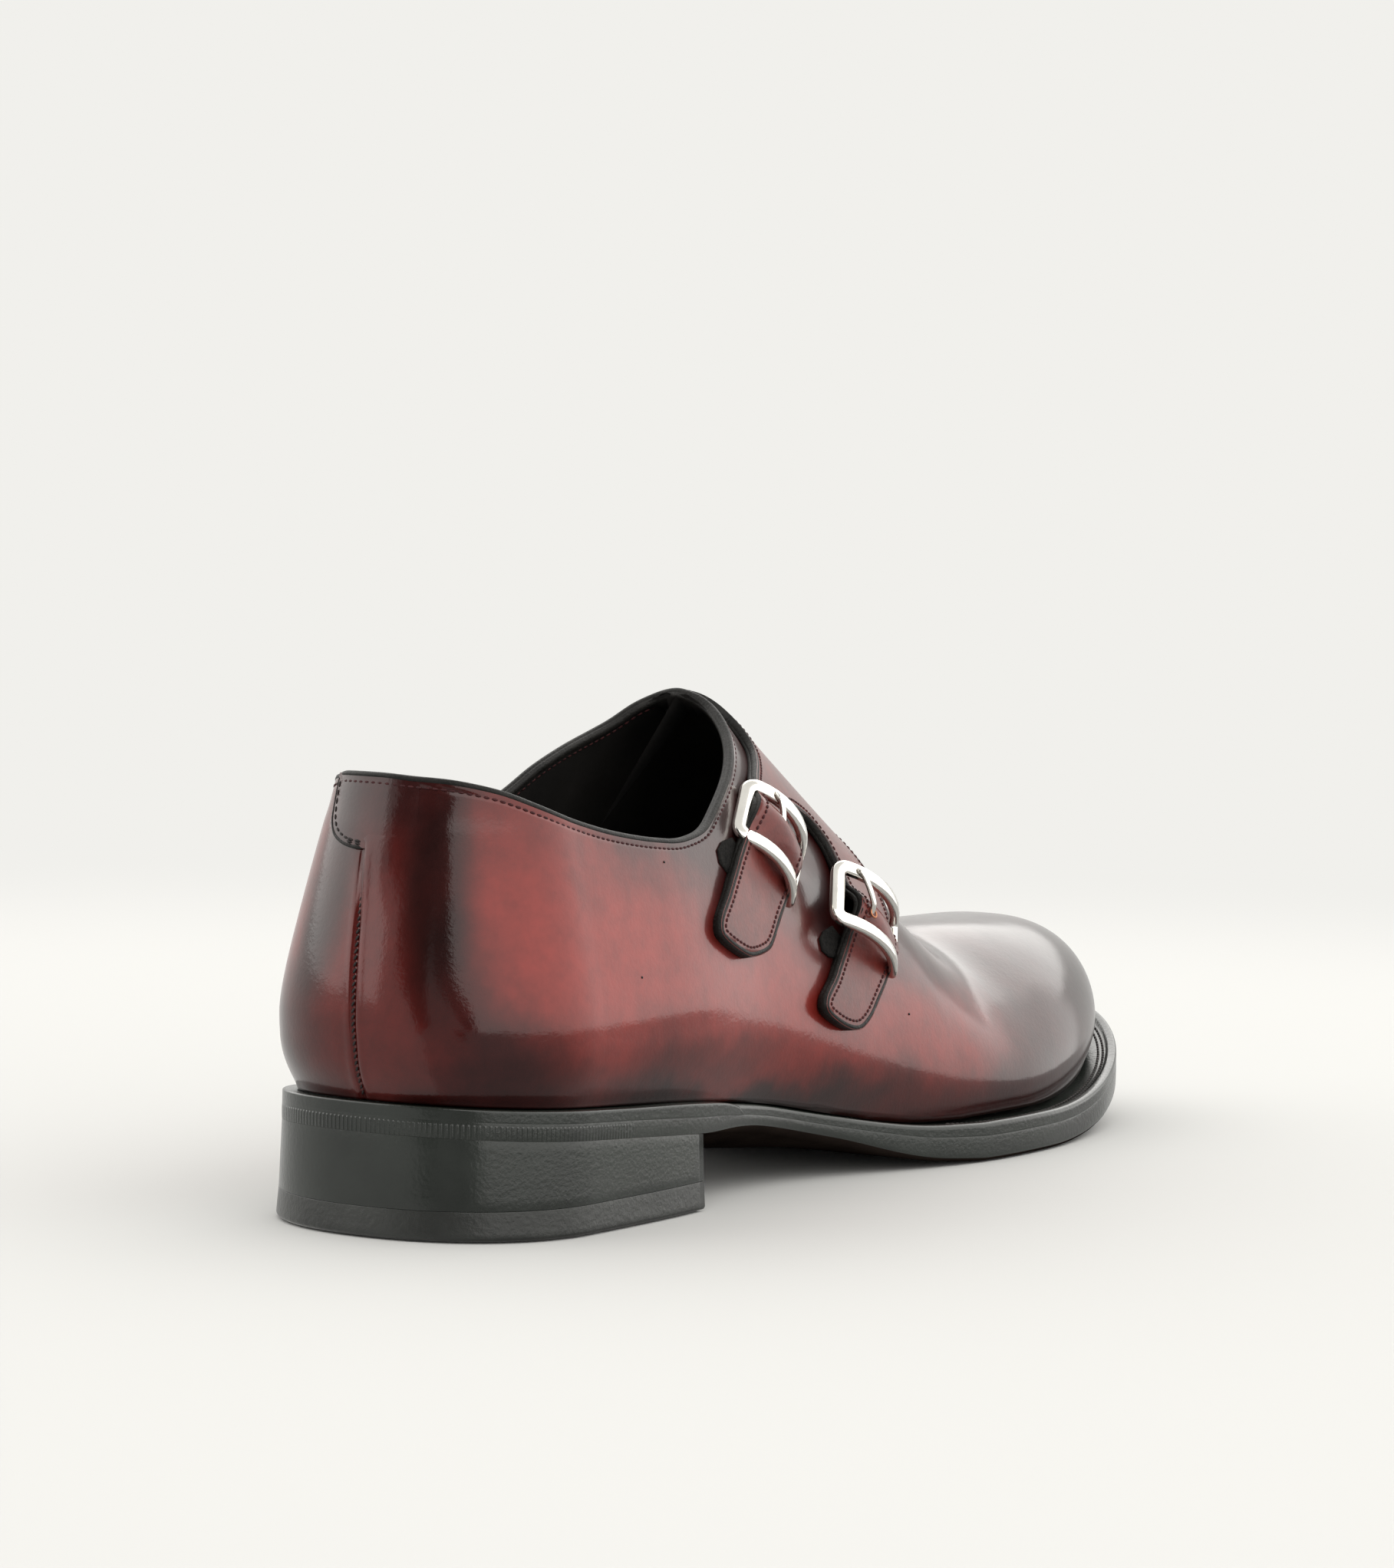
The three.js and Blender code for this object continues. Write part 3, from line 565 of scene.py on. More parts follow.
def softShare(nodes, links, value, top):  # eases a cloud's edge and sets its strength
    node = nodes.new("ShaderNodeMapRange")
    node.interpolation_type = "SMOOTHERSTEP"
    node.inputs["From Max"].default_value = 0.75
    node.inputs["To Max"].default_value = top
    links.new(value, node.inputs["Value"])
    return node.outputs["Result"]


def wanderingCoords(nodes, links):  # object coordinates, the same on both sides and shaken by noise
    coords = nodes.new("ShaderNodeTexCoord").outputs["Object"]
    split = nodes.new("ShaderNodeSeparateXYZ")
    links.new(coords, split.inputs["Vector"])
    flip = nodes.new("ShaderNodeMath")
    flip.operation = "ABSOLUTE"
    links.new(split.outputs["Y"], flip.inputs[0])
    joined = nodes.new("ShaderNodeCombineXYZ")
    links.new(split.outputs["X"], joined.inputs["X"])
    links.new(flip.outputs["Value"], joined.inputs["Y"])
    links.new(split.outputs["Z"], joined.inputs["Z"])
    shake = nodes.new("ShaderNodeTexNoise")
    shake.inputs["Scale"].default_value = 38.0
    shake.inputs["Detail"].default_value = 4.0
    links.new(coords, shake.inputs["Vector"])
    centred = nodes.new("ShaderNodeVectorMath")
    centred.operation = "MULTIPLY_ADD"
    centred.inputs[1].default_value = (0.030, 0.030, 0.026)
    centred.inputs[2].default_value = (-0.015, -0.015, -0.013)
    links.new(shake.outputs["Color"], centred.inputs[0])
    total = nodes.new("ShaderNodeVectorMath")
    total.operation = "ADD"
    links.new(joined.outputs["Vector"], total.inputs[0])
    links.new(centred.outputs["Vector"], total.inputs[1])
    return coords, joined.outputs["Vector"], total.outputs["Vector"]


def burnishedLeather(name):  # hand-coloured calf, clouds of red-brown over near black, polished, with painted shade along the welt and on the heel's corners
    material, nodes, links, shader = newMaterial(name)
    coords, even, wandering = wanderingCoords(nodes, links)
    patches = noiseNode(nodes, links, coords, 30.0, 5.0, 0.6)
    darkBase, lightBase = (tuple(c * k for c in leatherLook["base"]) for k in (0.62, 1.5))
    colour = rampNode(nodes, links, patches, [(0.3, darkBase), (0.7, lightBase)])
    # the deep clouds include painted shade along the welt
    for clouds, key in ((warmClouds, "warm"), (brightClouds, "bright"), (deepCloudsAndPaintedShade, "deep")):
        for middle, radii, strength in clouds:
            share = softShare(nodes, links, cloudNode(nodes, links, wandering, middle, radii), strength)
            colour = mixNode(nodes, links, share, colour, leatherLook[key])
    # painted shade: the darkest colour on the heel's corners, where the dark reflection streaks fall
    for middle, radii, strength in heelPaintedShade:
        share = softShare(nodes, links, cloudNode(nodes, links, even, middle, radii), strength)
        colour = mixNode(nodes, links, share, colour, leatherLook["deep"])
    mottle = noiseNode(nodes, links, coords, 210.0, 4.0, 0.6)
    freckle = rampNode(nodes, links, mottle, [(0.32, (0.8, 0.78, 0.78)), (0.55, (1.0, 1.0, 1.0)),
                                              (0.75, (1.14, 1.12, 1.1))])
    links.new(mixNode(nodes, links, 1.0, colour, freckle, "MULTIPLY"), shader.inputs["Base Color"])
    wear = noiseNode(nodes, links, coords, 75.0, 4.0)
    links.new(rangeNode(nodes, links, wear, *leatherLook["roughness"]), shader.inputs["Roughness"])
    grain = noiseNode(nodes, links, coords, leatherLook["grainScale"], 3.0, 0.6)
    soft = noiseNode(nodes, links, coords, 150.0, 2.0)
    normal = bumpNode(nodes, links, soft, 0.06, 0.0006)
    normal = bumpNode(nodes, links, grain, 0.22, 0.00012, normal)
    links.new(normal, shader.inputs["Normal"])
    links.new(normal, shader.inputs["Coat Normal"])
    shader.inputs["Metallic"].default_value = leatherLook["sheenOfColour"]
    shader.inputs["Specular IOR Level"].default_value = leatherLook["specular"]
    shader.inputs["Coat Weight"].default_value = leatherLook["coat"]
    shader.inputs["Coat Roughness"].default_value = leatherLook["coatRoughness"]
    return material


def flapCalf(name):  # the flap is of one brown-red tone with a fine grain
    material, nodes, links, shader = newMaterial(name)
    coords = nodes.new("ShaderNodeTexCoord").outputs["Object"]
    patches = noiseNode(nodes, links, coords, 55.0, 5.0, 0.6)
    colour = rampNode(nodes, links, patches, [(0.3, (0.078, 0.0125, 0.0105)), (0.7, (0.118, 0.018, 0.014))])
    mottle = noiseNode(nodes, links, coords, 260.0, 4.0, 0.6)
    freckle = rampNode(nodes, links, mottle, [(0.32, (0.7, 0.68, 0.68)), (0.75, (1.2, 1.18, 1.15))])
    links.new(mixNode(nodes, links, 1.0, colour, freckle, "MULTIPLY"), shader.inputs["Base Color"])
    wear = noiseNode(nodes, links, coords, 75.0, 4.0)
    links.new(rangeNode(nodes, links, wear, 0.34, 0.46), shader.inputs["Roughness"])
    grain = noiseNode(nodes, links, coords, leatherLook["grainScale"], 3.0, 0.6)
    normal = bumpNode(nodes, links, grain, 0.3, 0.00014)
    links.new(normal, shader.inputs["Normal"])
    links.new(normal, shader.inputs["Coat Normal"])
    shader.inputs["Specular IOR Level"].default_value = 0.2
    shader.inputs["Coat Weight"].default_value = 0.4
    shader.inputs["Coat Roughness"].default_value = 0.16
    return material


def plainFinish(name, dark, light, scale, roughness, bump=0.15, bumpScale=900.0, coat=0.0, specular=0.5):
    material, nodes, links, shader = newMaterial(name)
    coords = nodes.new("ShaderNodeTexCoord").outputs["Object"]
    clouds = noiseNode(nodes, links, coords, scale, 4.0)
    links.new(rampNode(nodes, links, clouds, [(0.3, dark), (0.7, light)]), shader.inputs["Base Color"])
    patches = noiseNode(nodes, links, coords, scale * 2.3, 3.0)
    links.new(rangeNode(nodes, links, patches, *roughness), shader.inputs["Roughness"])
    grain = noiseNode(nodes, links, coords, bumpScale, 3.0)
    links.new(bumpNode(nodes, links, grain, bump, 0.0003), shader.inputs["Normal"])
    shader.inputs["Specular IOR Level"].default_value = specular
    if coat:
        shader.inputs["Coat Weight"].default_value = coat
        shader.inputs["Coat Roughness"].default_value = 0.2
    return material


upperLeather = burnishedLeather("burnished_calf")
flapLeather = flapCalf("burnished_calf_flap")
liningLeather = plainFinish("lining_black", (0.004, 0.0036, 0.0033), (0.009, 0.0082, 0.0075), 60,
                            (0.5, 0.65), 0.15, 900, 0.0, 0.15)
edgePaint = plainFinish("edge_paint", (0.004, 0.004, 0.0035), (0.012, 0.011, 0.010), 300, (0.4, 0.55), 0.5,
                        1800, 0.0, 0.16)
soleEdgeFinish = plainFinish("sole_edge_finish", (0.006, 0.0078, 0.0062), (0.014, 0.0172, 0.0142), 45,
                             (0.18, 0.3), 0.22, 1100, 0.0, 0.46)
rubberFinish = plainFinish("rubber_finish", (0.007, 0.008, 0.0068), (0.017, 0.0185, 0.0165), 80,
                           (0.3, 0.42), 0.4, 900, 0.0, 0.44)
# near-black underside of the sole: partly its own dark colour, partly painted shade under the waist
soleUnderAndPaintedShade = plainFinish("sole_under_and_painted_shade", (0.006, 0.0045, 0.004), (0.015, 0.011, 0.009), 50,
                              (0.7, 0.85), 0.3, 900, 0.0, 0.0)
sockFinish = plainFinish("sock_leather", (0.010, 0.008, 0.007), (0.022, 0.018, 0.015), 70, (0.45, 0.6))
threadRed = plainFinish("thread_burgundy", (0.020, 0.0035, 0.004), (0.046, 0.008, 0.009), 900, (0.5, 0.7),
                        0.4, 6000, 0.0, 0.2)
threadBlack = plainFinish("thread_black", (0.008, 0.006, 0.006), (0.020, 0.014, 0.013), 900, (0.5, 0.7),
                          0.4, 6000, 0.0, 0.25)
elasticWeave = plainFinish("elastic_weave", (0.004, 0.004, 0.004), (0.014, 0.013, 0.012), 1400, (0.8, 0.95),
                           0.8, 2500, 0.0, 0.08)


def polishedNickel():
    material, nodes, links, shader = newMaterial("polished_nickel")
    coords = nodes.new("ShaderNodeTexCoord").outputs["Object"]
    clouds = noiseNode(nodes, links, coords, 160.0, 3.0)
    links.new(rampNode(nodes, links, clouds, [(0.3, (0.71, 0.69, 0.645)), (0.7, (0.82, 0.80, 0.755))]),
              shader.inputs["Base Color"])
    shader.inputs["Metallic"].default_value = 1.0
    wear = noiseNode(nodes, links, coords, 700.0, 4.0)
    links.new(rangeNode(nodes, links, wear, 0.10, 0.22), shader.inputs["Roughness"])
    fine = noiseNode(nodes, links, coords, 2600.0, 2.0)
    links.new(bumpNode(nodes, links, fine, 0.05, 0.0001), shader.inputs["Normal"])
    return material


nickel = polishedNickel()
copperRim = plainFinish("copper_rim", (0.30, 0.12, 0.06), (0.46, 0.20, 0.11), 400, (0.3, 0.45))
copperRim.node_tree.nodes["Principled BSDF"].inputs["Metallic"].default_value = 1.0
print("materials ready")

# Upper: one hollow form from the feather line to the topline

upperSizes = {
    "seamColumns": 22,
    "seamTurn": 0.11,
    "heelColumns": 22,
    "straightStep": 2.2,
    "throatFrom": 76.0,
    "throatTo": 93.6,
    "throatStep": 0.4,
    "toeColumns": 40,
    "rows": 72,
}

# Seam at the back: height and how far it leans to the medial side
backSeam = {
    "height": [27.0, 35.9, 43.3, 57.8, 77.5],
    "lean": [1.2, 1.2, 1.5, 2.7, 4.4],
    "depth": 0.5,
    "width": 0.62,
    "lip": 0.16,
}
seamLean = steadyCurve(backSeam["height"], backSeam["lean"])

# Soft creases and swellings of the vamp: middle of each, length, width and height, all in millimetres
vampCreases = [
    {"from": (143, 52), "to": (171, 37), "width": 7.0, "height": 0.3},
    {"from": (144, 43), "to": (166, 31), "width": 6.5, "height": -0.25},
    {"from": (128, 44), "to": (143, 30), "width": 8.0, "height": -0.16},
    {"from": (176, 40), "to": (196, 33), "width": 9.0, "height": 0.15},
]


def upperStations():
    fine, coarse = upperSizes["seamColumns"], upperSizes["heelColumns"]
    seamTurn = upperSizes["seamTurn"]
    places = [seamTurn * i / fine for i in range(fine)]
    places += [seamTurn + (1 - seamTurn) * i / coarse for i in range(coarse)]
    x = 0.0
    while x < lastSizes["toeStart"] - 0.5:
        places.append(stationOf(x))
        fineHere = upperSizes["throatFrom"] <= x < upperSizes["throatTo"]
        x += upperSizes["throatStep"] if fineHere else upperSizes["straightStep"]
    places.append(2.0)
    places += [2 + i / upperSizes["toeColumns"] for i in range(1, upperSizes["toeColumns"] + 1)]
    return places


def creaseAt(point):  # soft troughs and ridges where the foot bends
    total = 0.0
    for crease in vampCreases:
        x0, z0 = crease["from"]
        x1, z1 = crease["to"]
        length = math.hypot(x1 - x0, z1 - z0)
        along = ((point.x - x0) * (x1 - x0) + (point.z - z0) * (z1 - z0)) / length
        across = ((point.x - x0) * (z1 - z0) - (point.z - z0) * (x1 - x0)) / length
        past = max(-along, along - length, 0.0) / (crease["width"] * 1.6)
        total += crease["height"] * math.exp(-(across / crease["width"]) ** 2 - past * past)
    return total


heelArc = 50.0  # length of a quarter turn round the heel
heelBulge = {"height": 0.9, "middle": 62.0, "reach": 25.0, "from": 30.0, "until": 70.0}
edgeGroove = {"band": 3.4, "rows": 18, "at": 1.75, "width": 0.42, "depth": 0.14, "past": 9.0}
# The lateral quarter laps the medial one at the back: distances round the heel, then heights
quarterLap = {"height": 0.82, "start": -6.5, "end": 3.0, "low": 60.0, "full": 76.5, "fades": 80.0, "gone": 83.0}


def bulgeAt(point):  # the quarters swell slightly between the sole and the top edge
    share = (point.z - heelBulge["middle"]) / heelBulge["reach"]
    inside = clamp(1 - share * share)
    ahead = smoothStep(heelBulge["from"], heelBulge["until"], point.x)
    return heelBulge["height"] * inside * smoothStep(0, 0.45, inside) * (1 - ahead)


def upperRaise(station, side, point, drop=edgeGroove["past"]):  # how far the leather stands off the plain form
    total = bulgeAt(point)
    total -= edgeGroove["depth"] * math.exp(-((drop - edgeGroove["at"]) / edgeGroove["width"]) ** 2)
    if station > 0.5:
        return total + (creaseAt(point) if point.x > 115 else 0.0)
    if point.z > quarterLap["gone"]:
        return total
    offset = (point.y - seamLean(point.z)) / backSeam["width"]
    fade = 1 - smoothStep(76.8, 78.0, point.z)
    groove = -backSeam["depth"] * math.exp(-offset * offset)
    lips = math.exp(-((offset - 2.2) / 1.4) ** 2) + 0.7 * math.exp(-((offset + 2.2) / 1.4) ** 2)
    lips *= backSeam["lip"]
    arc = side * station * heelArc
    lap = quarterLap["height"] * smoothStep(quarterLap["start"], quarterLap["end"], arc)
    lap *= smoothStep(quarterLap["low"], quarterLap["full"], point.z)
    lap *= 1 - smoothStep(quarterLap["fades"], quarterLap["gone"], point.z)
    lap *= 1 - smoothStep(seamLean(point.z) - 0.1, seamLean(point.z) + 0.5, arc)
    return total + (groove + lips) * fade + lap


def columnHeight(station, side, limit):  # length of a column of the upper, in millimetres
    points = [lastPoint(station, side, limit * i / 12, 0) for i in range(13)]
    return sum((b - a).length for a, b in zip(points, points[1:]))


def upperPoint(station, side, rise, level=0.0, drop=edgeGroove["past"]):
    plain = lastPoint(station, side, rise, 0)
    return lastPoint(station, side, rise, level + upperRaise(station, side, plain, drop))


def upperNormal(station, side, rise):
    step = 0.012
    ahead = lastPoint(min(station + step, 2.999), side, rise, 0)
    behind = lastPoint(max(station - step, 0.0001), side, rise, 0)
    above = lastPoint(station, side, min(rise + step, 1.0), 0)
    below = lastPoint(station, side, max(rise - step, 0.0), 0)
    normal = (ahead - behind).cross(above - below)
    outward = lastPoint(station, side, rise, 1) - lastPoint(station, side, rise, 0)
    return normal.normalized() * (1 if normal.dot(outward) > 0 else -1)


def makeUpper():
    stations = upperStations()
    bm = bmesh.new()
    for side in (-1, 1):
        limits = [riseLimit(s, side) for s in stations]
        bands = [l * min(edgeGroove["band"] / columnHeight(s, side, l), 0.3) for s, l in zip(stations, limits)]
        lower = upperSizes["rows"] - edgeGroove["rows"]

        def place(column, row):
            band, limit = bands[column], limits[column]
            if row < lower:
                rise, drop = (limit - band) * row / lower, edgeGroove["past"]
            else:
                share = (row - lower) / (edgeGroove["rows"] - 1)
                rise, drop = limit - band * (1 - share), edgeGroove["band"] * (1 - share)
            if limit > 0.999:
                drop = edgeGroove["past"]
            return upperPoint(stations[column], side, rise, 0.0, drop)
        gridSurface(bm, len(stations), upperSizes["rows"], place)
    piece = finishMesh(bm, "upper_leather_shell", [upperLeather, liningLeather], 0.00003)
    wall = piece.modifiers.new("wall", "SOLIDIFY")
    wall.thickness = shoeSizes["upperWall"] * mm
    wall.offset = -1
    wall.material_offset = 1
    wall.material_offset_rim = 1
    wall.use_even_offset = True
    return putPiece(piece, "upper_leather", "upper")


makeUpper()
print("upper made")


def toplinePlaces():  # places along the top edge, from the back round the lateral side to the throat and home
    turns = [i / 26 for i in range(26)]
    straight = [stationOf(x) for x in np.concatenate([np.arange(0, 84, 2.0), np.arange(84, 93.2, 0.25)])]
    places = []
    for side in (-1, 1):
        half = []
        for station in turns + straight:
            limit = riseLimit(station, side)
            half.append((station, side, limit))
            if limit > 0.999:
                break
        places.append(half)
    lateral, medial = places
    return lateral + medial[::-1][1:]


tabSizes = {"level": 0.85, "cell": 0.9, "corner": 4.4}
tabOutline = [  # distance round the heel from its back, and height
    (-7.0, 99), (-7.0, 90), (-7.0, 82), (-3.0, 78.6), (2.0, 77.5), (5.0, 77.2), (8.5, 77.4), (12.0, 78.2),
    (15.6, 79.8), (18.2, 82.6), (19.6, 86.2), (20.2, 90), (20.4, 99),
]
tabStitchLine = [(5.2, 78.6), (8.4, 78.8), (11.6, 79.6), (14.6, 81.1), (16.8, 83.6), (18.1, 86.6), (18.6, 90.4)]
tabEdgeProfile = [  # outwards and up
    (-0.5, 0.03), (-0.1, 0.08), (0.15, -0.02), (0.25, -0.3), (0.25, -0.75), (0.1, -0.95), (-0.5, -0.95),
]


def tabLevel(arc, z):  # how far the tab stands off the quarters, fading into the lateral one
    sunk = 0.08 * (1 - smoothStep(79, 81, z)) * (1 - smoothStep(3.9, 4.4, arc))
    return 0.02 + (tabSizes["level"] - 0.02) * smoothStep(quarterLap["start"], quarterLap["end"], arc) - sunk


def tabRaise(station, side):  # height of the tab under the top edge
    arc = side * station * heelArc
    if arc <= quarterLap["start"]:
        return 0.0
    return tabLevel(arc, 92.0) * (1 - smoothStep(19.2, 20.6, arc))


def stationAt(point):  # heel station and side of a point near the top edge, from its bearing
    if point.x > 0:
        return 1.0, 1
    bearing = math.atan2(abs(point.y), -point.x) / (math.pi / 2)
    return min(bearing, 1.0), (-1 if point.y < 0 else 1)


toplineWidth = 2.3


def nearTopline(drop, wide=1.0):  # points and normals this far below the top edge
    path, normals = [], []
    for station, side, limit in toplinePlaces():
        point = upperPoint(station, side, limit, tabRaise(station, side))
        path.append(point)
        normals.append(upperNormal(station, side, min(limit, 0.995)))
    loop = path[:-1] if (path[0] - path[-1]).length < 0.5 else path
    count = len(loop)
    lengths = [0.0]
    for i in range(1, count + 1):
        lengths.append(lengths[-1] + (loop[i % count] - loop[i - 1]).length)
    steps = int(lengths[-1] / 0.8)
    result, k = [], 0
    for i in range(steps):
        target = lengths[-1] * i / steps
        while lengths[k + 1] < target:
            k += 1
        t = clamp((target - lengths[k]) / max(lengths[k + 1] - lengths[k], 1e-6))
        result.append((loop[k].lerp(loop[(k + 1) % count], t),
                       normals[k].lerp(normals[(k + 1) % count], t).normalized()))
    smooth = []
    for i in range(steps):  # evens out the small corners of the path
        near = [result[(i + j) % steps] for j in (-3, -2, -1, 0, 1, 2, 3)]
        weights = (1, 2, 3, 4, 3, 2, 1)
        point = sum((n[0] * w for n, w in zip(near, weights)), Vector()) / 16
        normal = sum((n[1] * w for n, w in zip(near, weights)), Vector()).normalized()
        smooth.append((point, normal))
    points, frames = [], []
    for i in range(steps):
        point, normal = smooth[i]
        ahead = smooth[(i + 1) % steps][0] - smooth[i - 1][0]
        upward = ahead.cross(normal).normalized()
        if upward.z < 0 and abs(upward.z) > 0.2 or (abs(upward.z) <= 0.2 and upward.x > 0):
            upward = -upward
        extra = tabRaise(*stationAt(point))
        points.append(point - upward * drop)
        frames.append((normal * (1 + extra / toplineWidth * wide), upward))
    return points, frames


# The folded and painted top edge, across the wall: outwards from the leather and up
toplineProfile = [
    (0.0, -0.62), (0.13, -0.5), (0.17, -0.15), (0.06, 0.25), (-0.25, 0.5), (-0.8, 0.62), (-1.05, 0.5),
    (-1.2, 0.42), (-1.35, 0.5), (-1.7, 0.5), (-2.1, 0.25), (-2.3, -0.2), (-2.3, -0.9), (-2.1, -1.1),
]


def makeTopEdge():
    path, frames = nearTopline(0.0)
    bm = bmesh.new()
    sweepBand(bm, path, frames, toplineProfile, True)
    piece = finishMesh(bm, "topline_edge", [edgePaint], 0.000005)
    return putPiece(piece, "upper_leather")


makeTopEdge()


# Stitches: short rounded threads sunk in the leather

stitchShape = bmesh.new()
bmesh.ops.create_uvsphere(stitchShape, u_segments=6, v_segments=5, radius=1.0)
stitchMesh = bpy.data.meshes.new("stitch_shape")
stitchShape.to_mesh(stitchMesh)
stitchShape.free()


def addStitch(bm, start, end, up, thickness):
    first = len(bm.verts)
    bm.from_mesh(stitchMesh)
    bm.verts.ensure_lookup_table()
    middle = (start + end) / 2
    along = (end - start)
    length = along.length / 2
    along.normalize()
    across = along.cross(up).normalized()
    rise = across.cross(along).normalized()
    if rise.dot(up) < 0:
        rise = -rise
    for vert in bm.verts[first:]:
        x, y, z = vert.co
        vert.co = (middle + along * (z * length) + across * (x * thickness / 2)
                   + rise * (y * thickness * 0.4)) * mm


def stitchRow(bm, path, ups, pitch, length, thickness, closed=False, slant=0.0):
    loop = list(range(len(path))) + ([0] if closed else [])
    lengths = [0.0]
    for i in range(1, len(loop)):
        lengths.append(lengths[-1] + (path[loop[i]] - path[loop[i - 1]]).length)
    count = max(int(lengths[-1] / pitch), 1)

    def at(distance):
        k = min(int(np.searchsorted(lengths, distance, side="right")) - 1, len(loop) - 2)
        t = clamp((distance - lengths[k]) / max(lengths[k + 1] - lengths[k], 1e-9))
        a, b = loop[k], loop[k + 1]
        return path[a].lerp(path[b], t), ups[a].lerp(ups[b], t).normalized()
    for i in range(count):
        middle = lengths[-1] * (i + 0.5) / count
        start, up = at(middle - length / 2)
        end = at(middle + length / 2)[0]
        if slant:
            side = (end - start).normalized().cross(up) * slant
            start, end = start - side, end + side
        addStitch(bm, start, end, up, thickness)


def finishStitches(bm, name, material):
    for face in bm.faces:
        face.smooth = True
    return putPiece(linkMesh(bm, name, [material]), "upper_leather")


topStitch = {"drop": 1.75, "pitch": 1.75, "length": 1.3, "thickness": 0.56}


def makeTopStitches():
    bm = bmesh.new()
    for level, side in ((-0.04, 1), (-shoeSizes["upperWall"] - 0.02, -1)):
        path, frames = nearTopline(topStitch["drop"], 0.0)
        ups = [f[0] * side for f in frames]
        stitchRow(bm, [p + f[0] * level for p, f in zip(path, frames)], ups, topStitch["pitch"],
                  topStitch["length"], topStitch["thickness"], True)
    finishStitches(bm, "topline_stitches", threadRed)


makeTopStitches()


pinholes = {"places": [(15.6, 50.6), (31.8, 73.0), (128.6, 34.0)], "size": 0.6}


def makePinholes():  # small dark holes punched through the lateral quarter
    bm = bmesh.new()
    for x, z in pinholes["places"]:
        across = acrossFromHeight(x, z, -1, 0)
        middle, up = onLast(x, across, 0), normalOnLast(x, across, 0)
        middle = middle + up * (bulgeAt(middle) - 0.04)
        along = up.cross(Vector((0, 0, 1))).normalized() * (pinholes["size"] / 2)
        addStitch(bm, middle - along, middle + along, up, pinholes["size"])
    finishStitches(bm, "quarter_pinholes", edgePaint)


makePinholes()

# Back: the lateral quarter reaches over the heel as a tab, with the seam under it


def onHeel(arc, z, level):  # point of the heel by distance round it and height
    station = clamp(abs(arc) / heelArc)
    side = -1 if arc < 0 else 1
    crest = lastCrest(0) + level
    base = soleTop(lastPoint(station, side, 0, level).x) + shoeSizes["layerGap"]
    rise = math.asin(clamp((z - base) / crest) ** (lastTop(0) / 2)) * 2 / math.pi
    rise = min(rise, riseLimit(station, side))
    return lastPoint(station, side, rise, level + bulgeAt(lastPoint(station, side, rise, 0)))


def makeTab():
    bm = bmesh.new()
    bm.faces.new([bm.verts.new(p) for p in smoothCurve([Vector((a, z, 0)) for a, z in tabOutline], 0.6)])
    cutIntoCells(bm, (-6.63, 77.37), (21, 96), tabSizes["cell"])
    for vert in bm.verts:
        arc, z = vert.co.x, vert.co.y
        vert.co = onHeel(arc, z, tabLevel(arc, z)) * mm
    putPiece(finishMesh(bm, "heel_tab", [upperLeather], 0.00004), "upper_leather")


def alongHeel(points, level):  # the same path on the heel, with the way up at each point
    path = [onHeel(p.x, p.y, tabLevel(p.x, p.y) + level) for p in points]
    return path, [(onHeel(p.x, p.y, 2) - onHeel(p.x, p.y, 0)).normalized() for p in points]


def makeTabEdge():  # painted edge of the tab, from its corner to the top
    outline = [Vector((a, z, 0)) for a, z in tabOutline[3:]]
    edge = [p for p in smoothCurve(outline, 0.5) if p.y < 91 and p.x > tabSizes["corner"] - 0.5]
    path, ups = alongHeel(edge, 0.0)
    frames = []
    for i, up in enumerate(ups):
        ahead = path[min(i + 1, len(path) - 1)] - path[max(i - 1, 0)]
        outward = ahead.cross(up).normalized()
        if outward.dot(path[i] - onHeel(5, 88, 0.9)) < 0:
            outward = -outward
        fade = max(smoothStep(0, 3, i), 0.05)
        frames.append((outward * fade, up * fade))
    bm = bmesh.new()
    sweepBand(bm, path, frames, tabEdgeProfile, False)
    putPiece(finishMesh(bm, "heel_tab_edge", [edgePaint], 0.000003), "upper_leather")


def backSeamPath():  # the seam's middle line, sunk in its groove
    path = []
    base = soleTop(-31.5) + shoeSizes["layerGap"]
    for i in range(70):
        z = 28.0 + (77.0 - 28.0) * i / 69
        rise = math.asin(clamp((z - base) / lastCrest(0)) ** (lastTop(0) / 2)) * 2 / math.pi
        turn = math.asin(clamp(seamLean(z) / lastLateral(0)) ** (lastSizes["heelRoundness"] / 2)) * 2 / math.pi
        path.append(lastPoint(turn, 1, rise, -0.22 + bulgeAt(Vector((-31, 0, z)))))
    return path


def makeHeelStitches():
    bm = bmesh.new()
    path, ups = alongHeel(smoothCurve([Vector((a, z, 0)) for a, z in tabStitchLine], 0.4), 0.03)
    stitchRow(bm, path, ups, topStitch["pitch"], topStitch["length"], topStitch["thickness"])
    for height in (77.6, 78.1, 78.6):  # bar tack beside the seam
        row = [onHeel(a, height + (a - 5) * 0.08, tabLevel(a, height) + 0.1) for a in np.linspace(4.6, 9.6, 6)]
        stitchRow(bm, row, [ups[0]] * 6, 1.7, 1.55, 0.55, slant=0.1)
    seam = backSeamPath()
    stitchRow(bm, seam, [Vector((-1, 0.08, 0.05)).normalized()] * len(seam), 1.3, 1.0, 0.55, slant=0.34)
    finishStitches(bm, "heel_stitches", threadBlack)


makeTab()
makeTabEdge()
makeHeelStitches()
print("back and edges made")

# Flap with its two straps: outlines as seen from either side of the shoe, x and z

flapSizes = {
    "level": 2.7,
    "thickness": 2.3,
    "cell": 1.5,
    "rearCrossing": 97.2,
    "frontCrossing": 139.4,
}

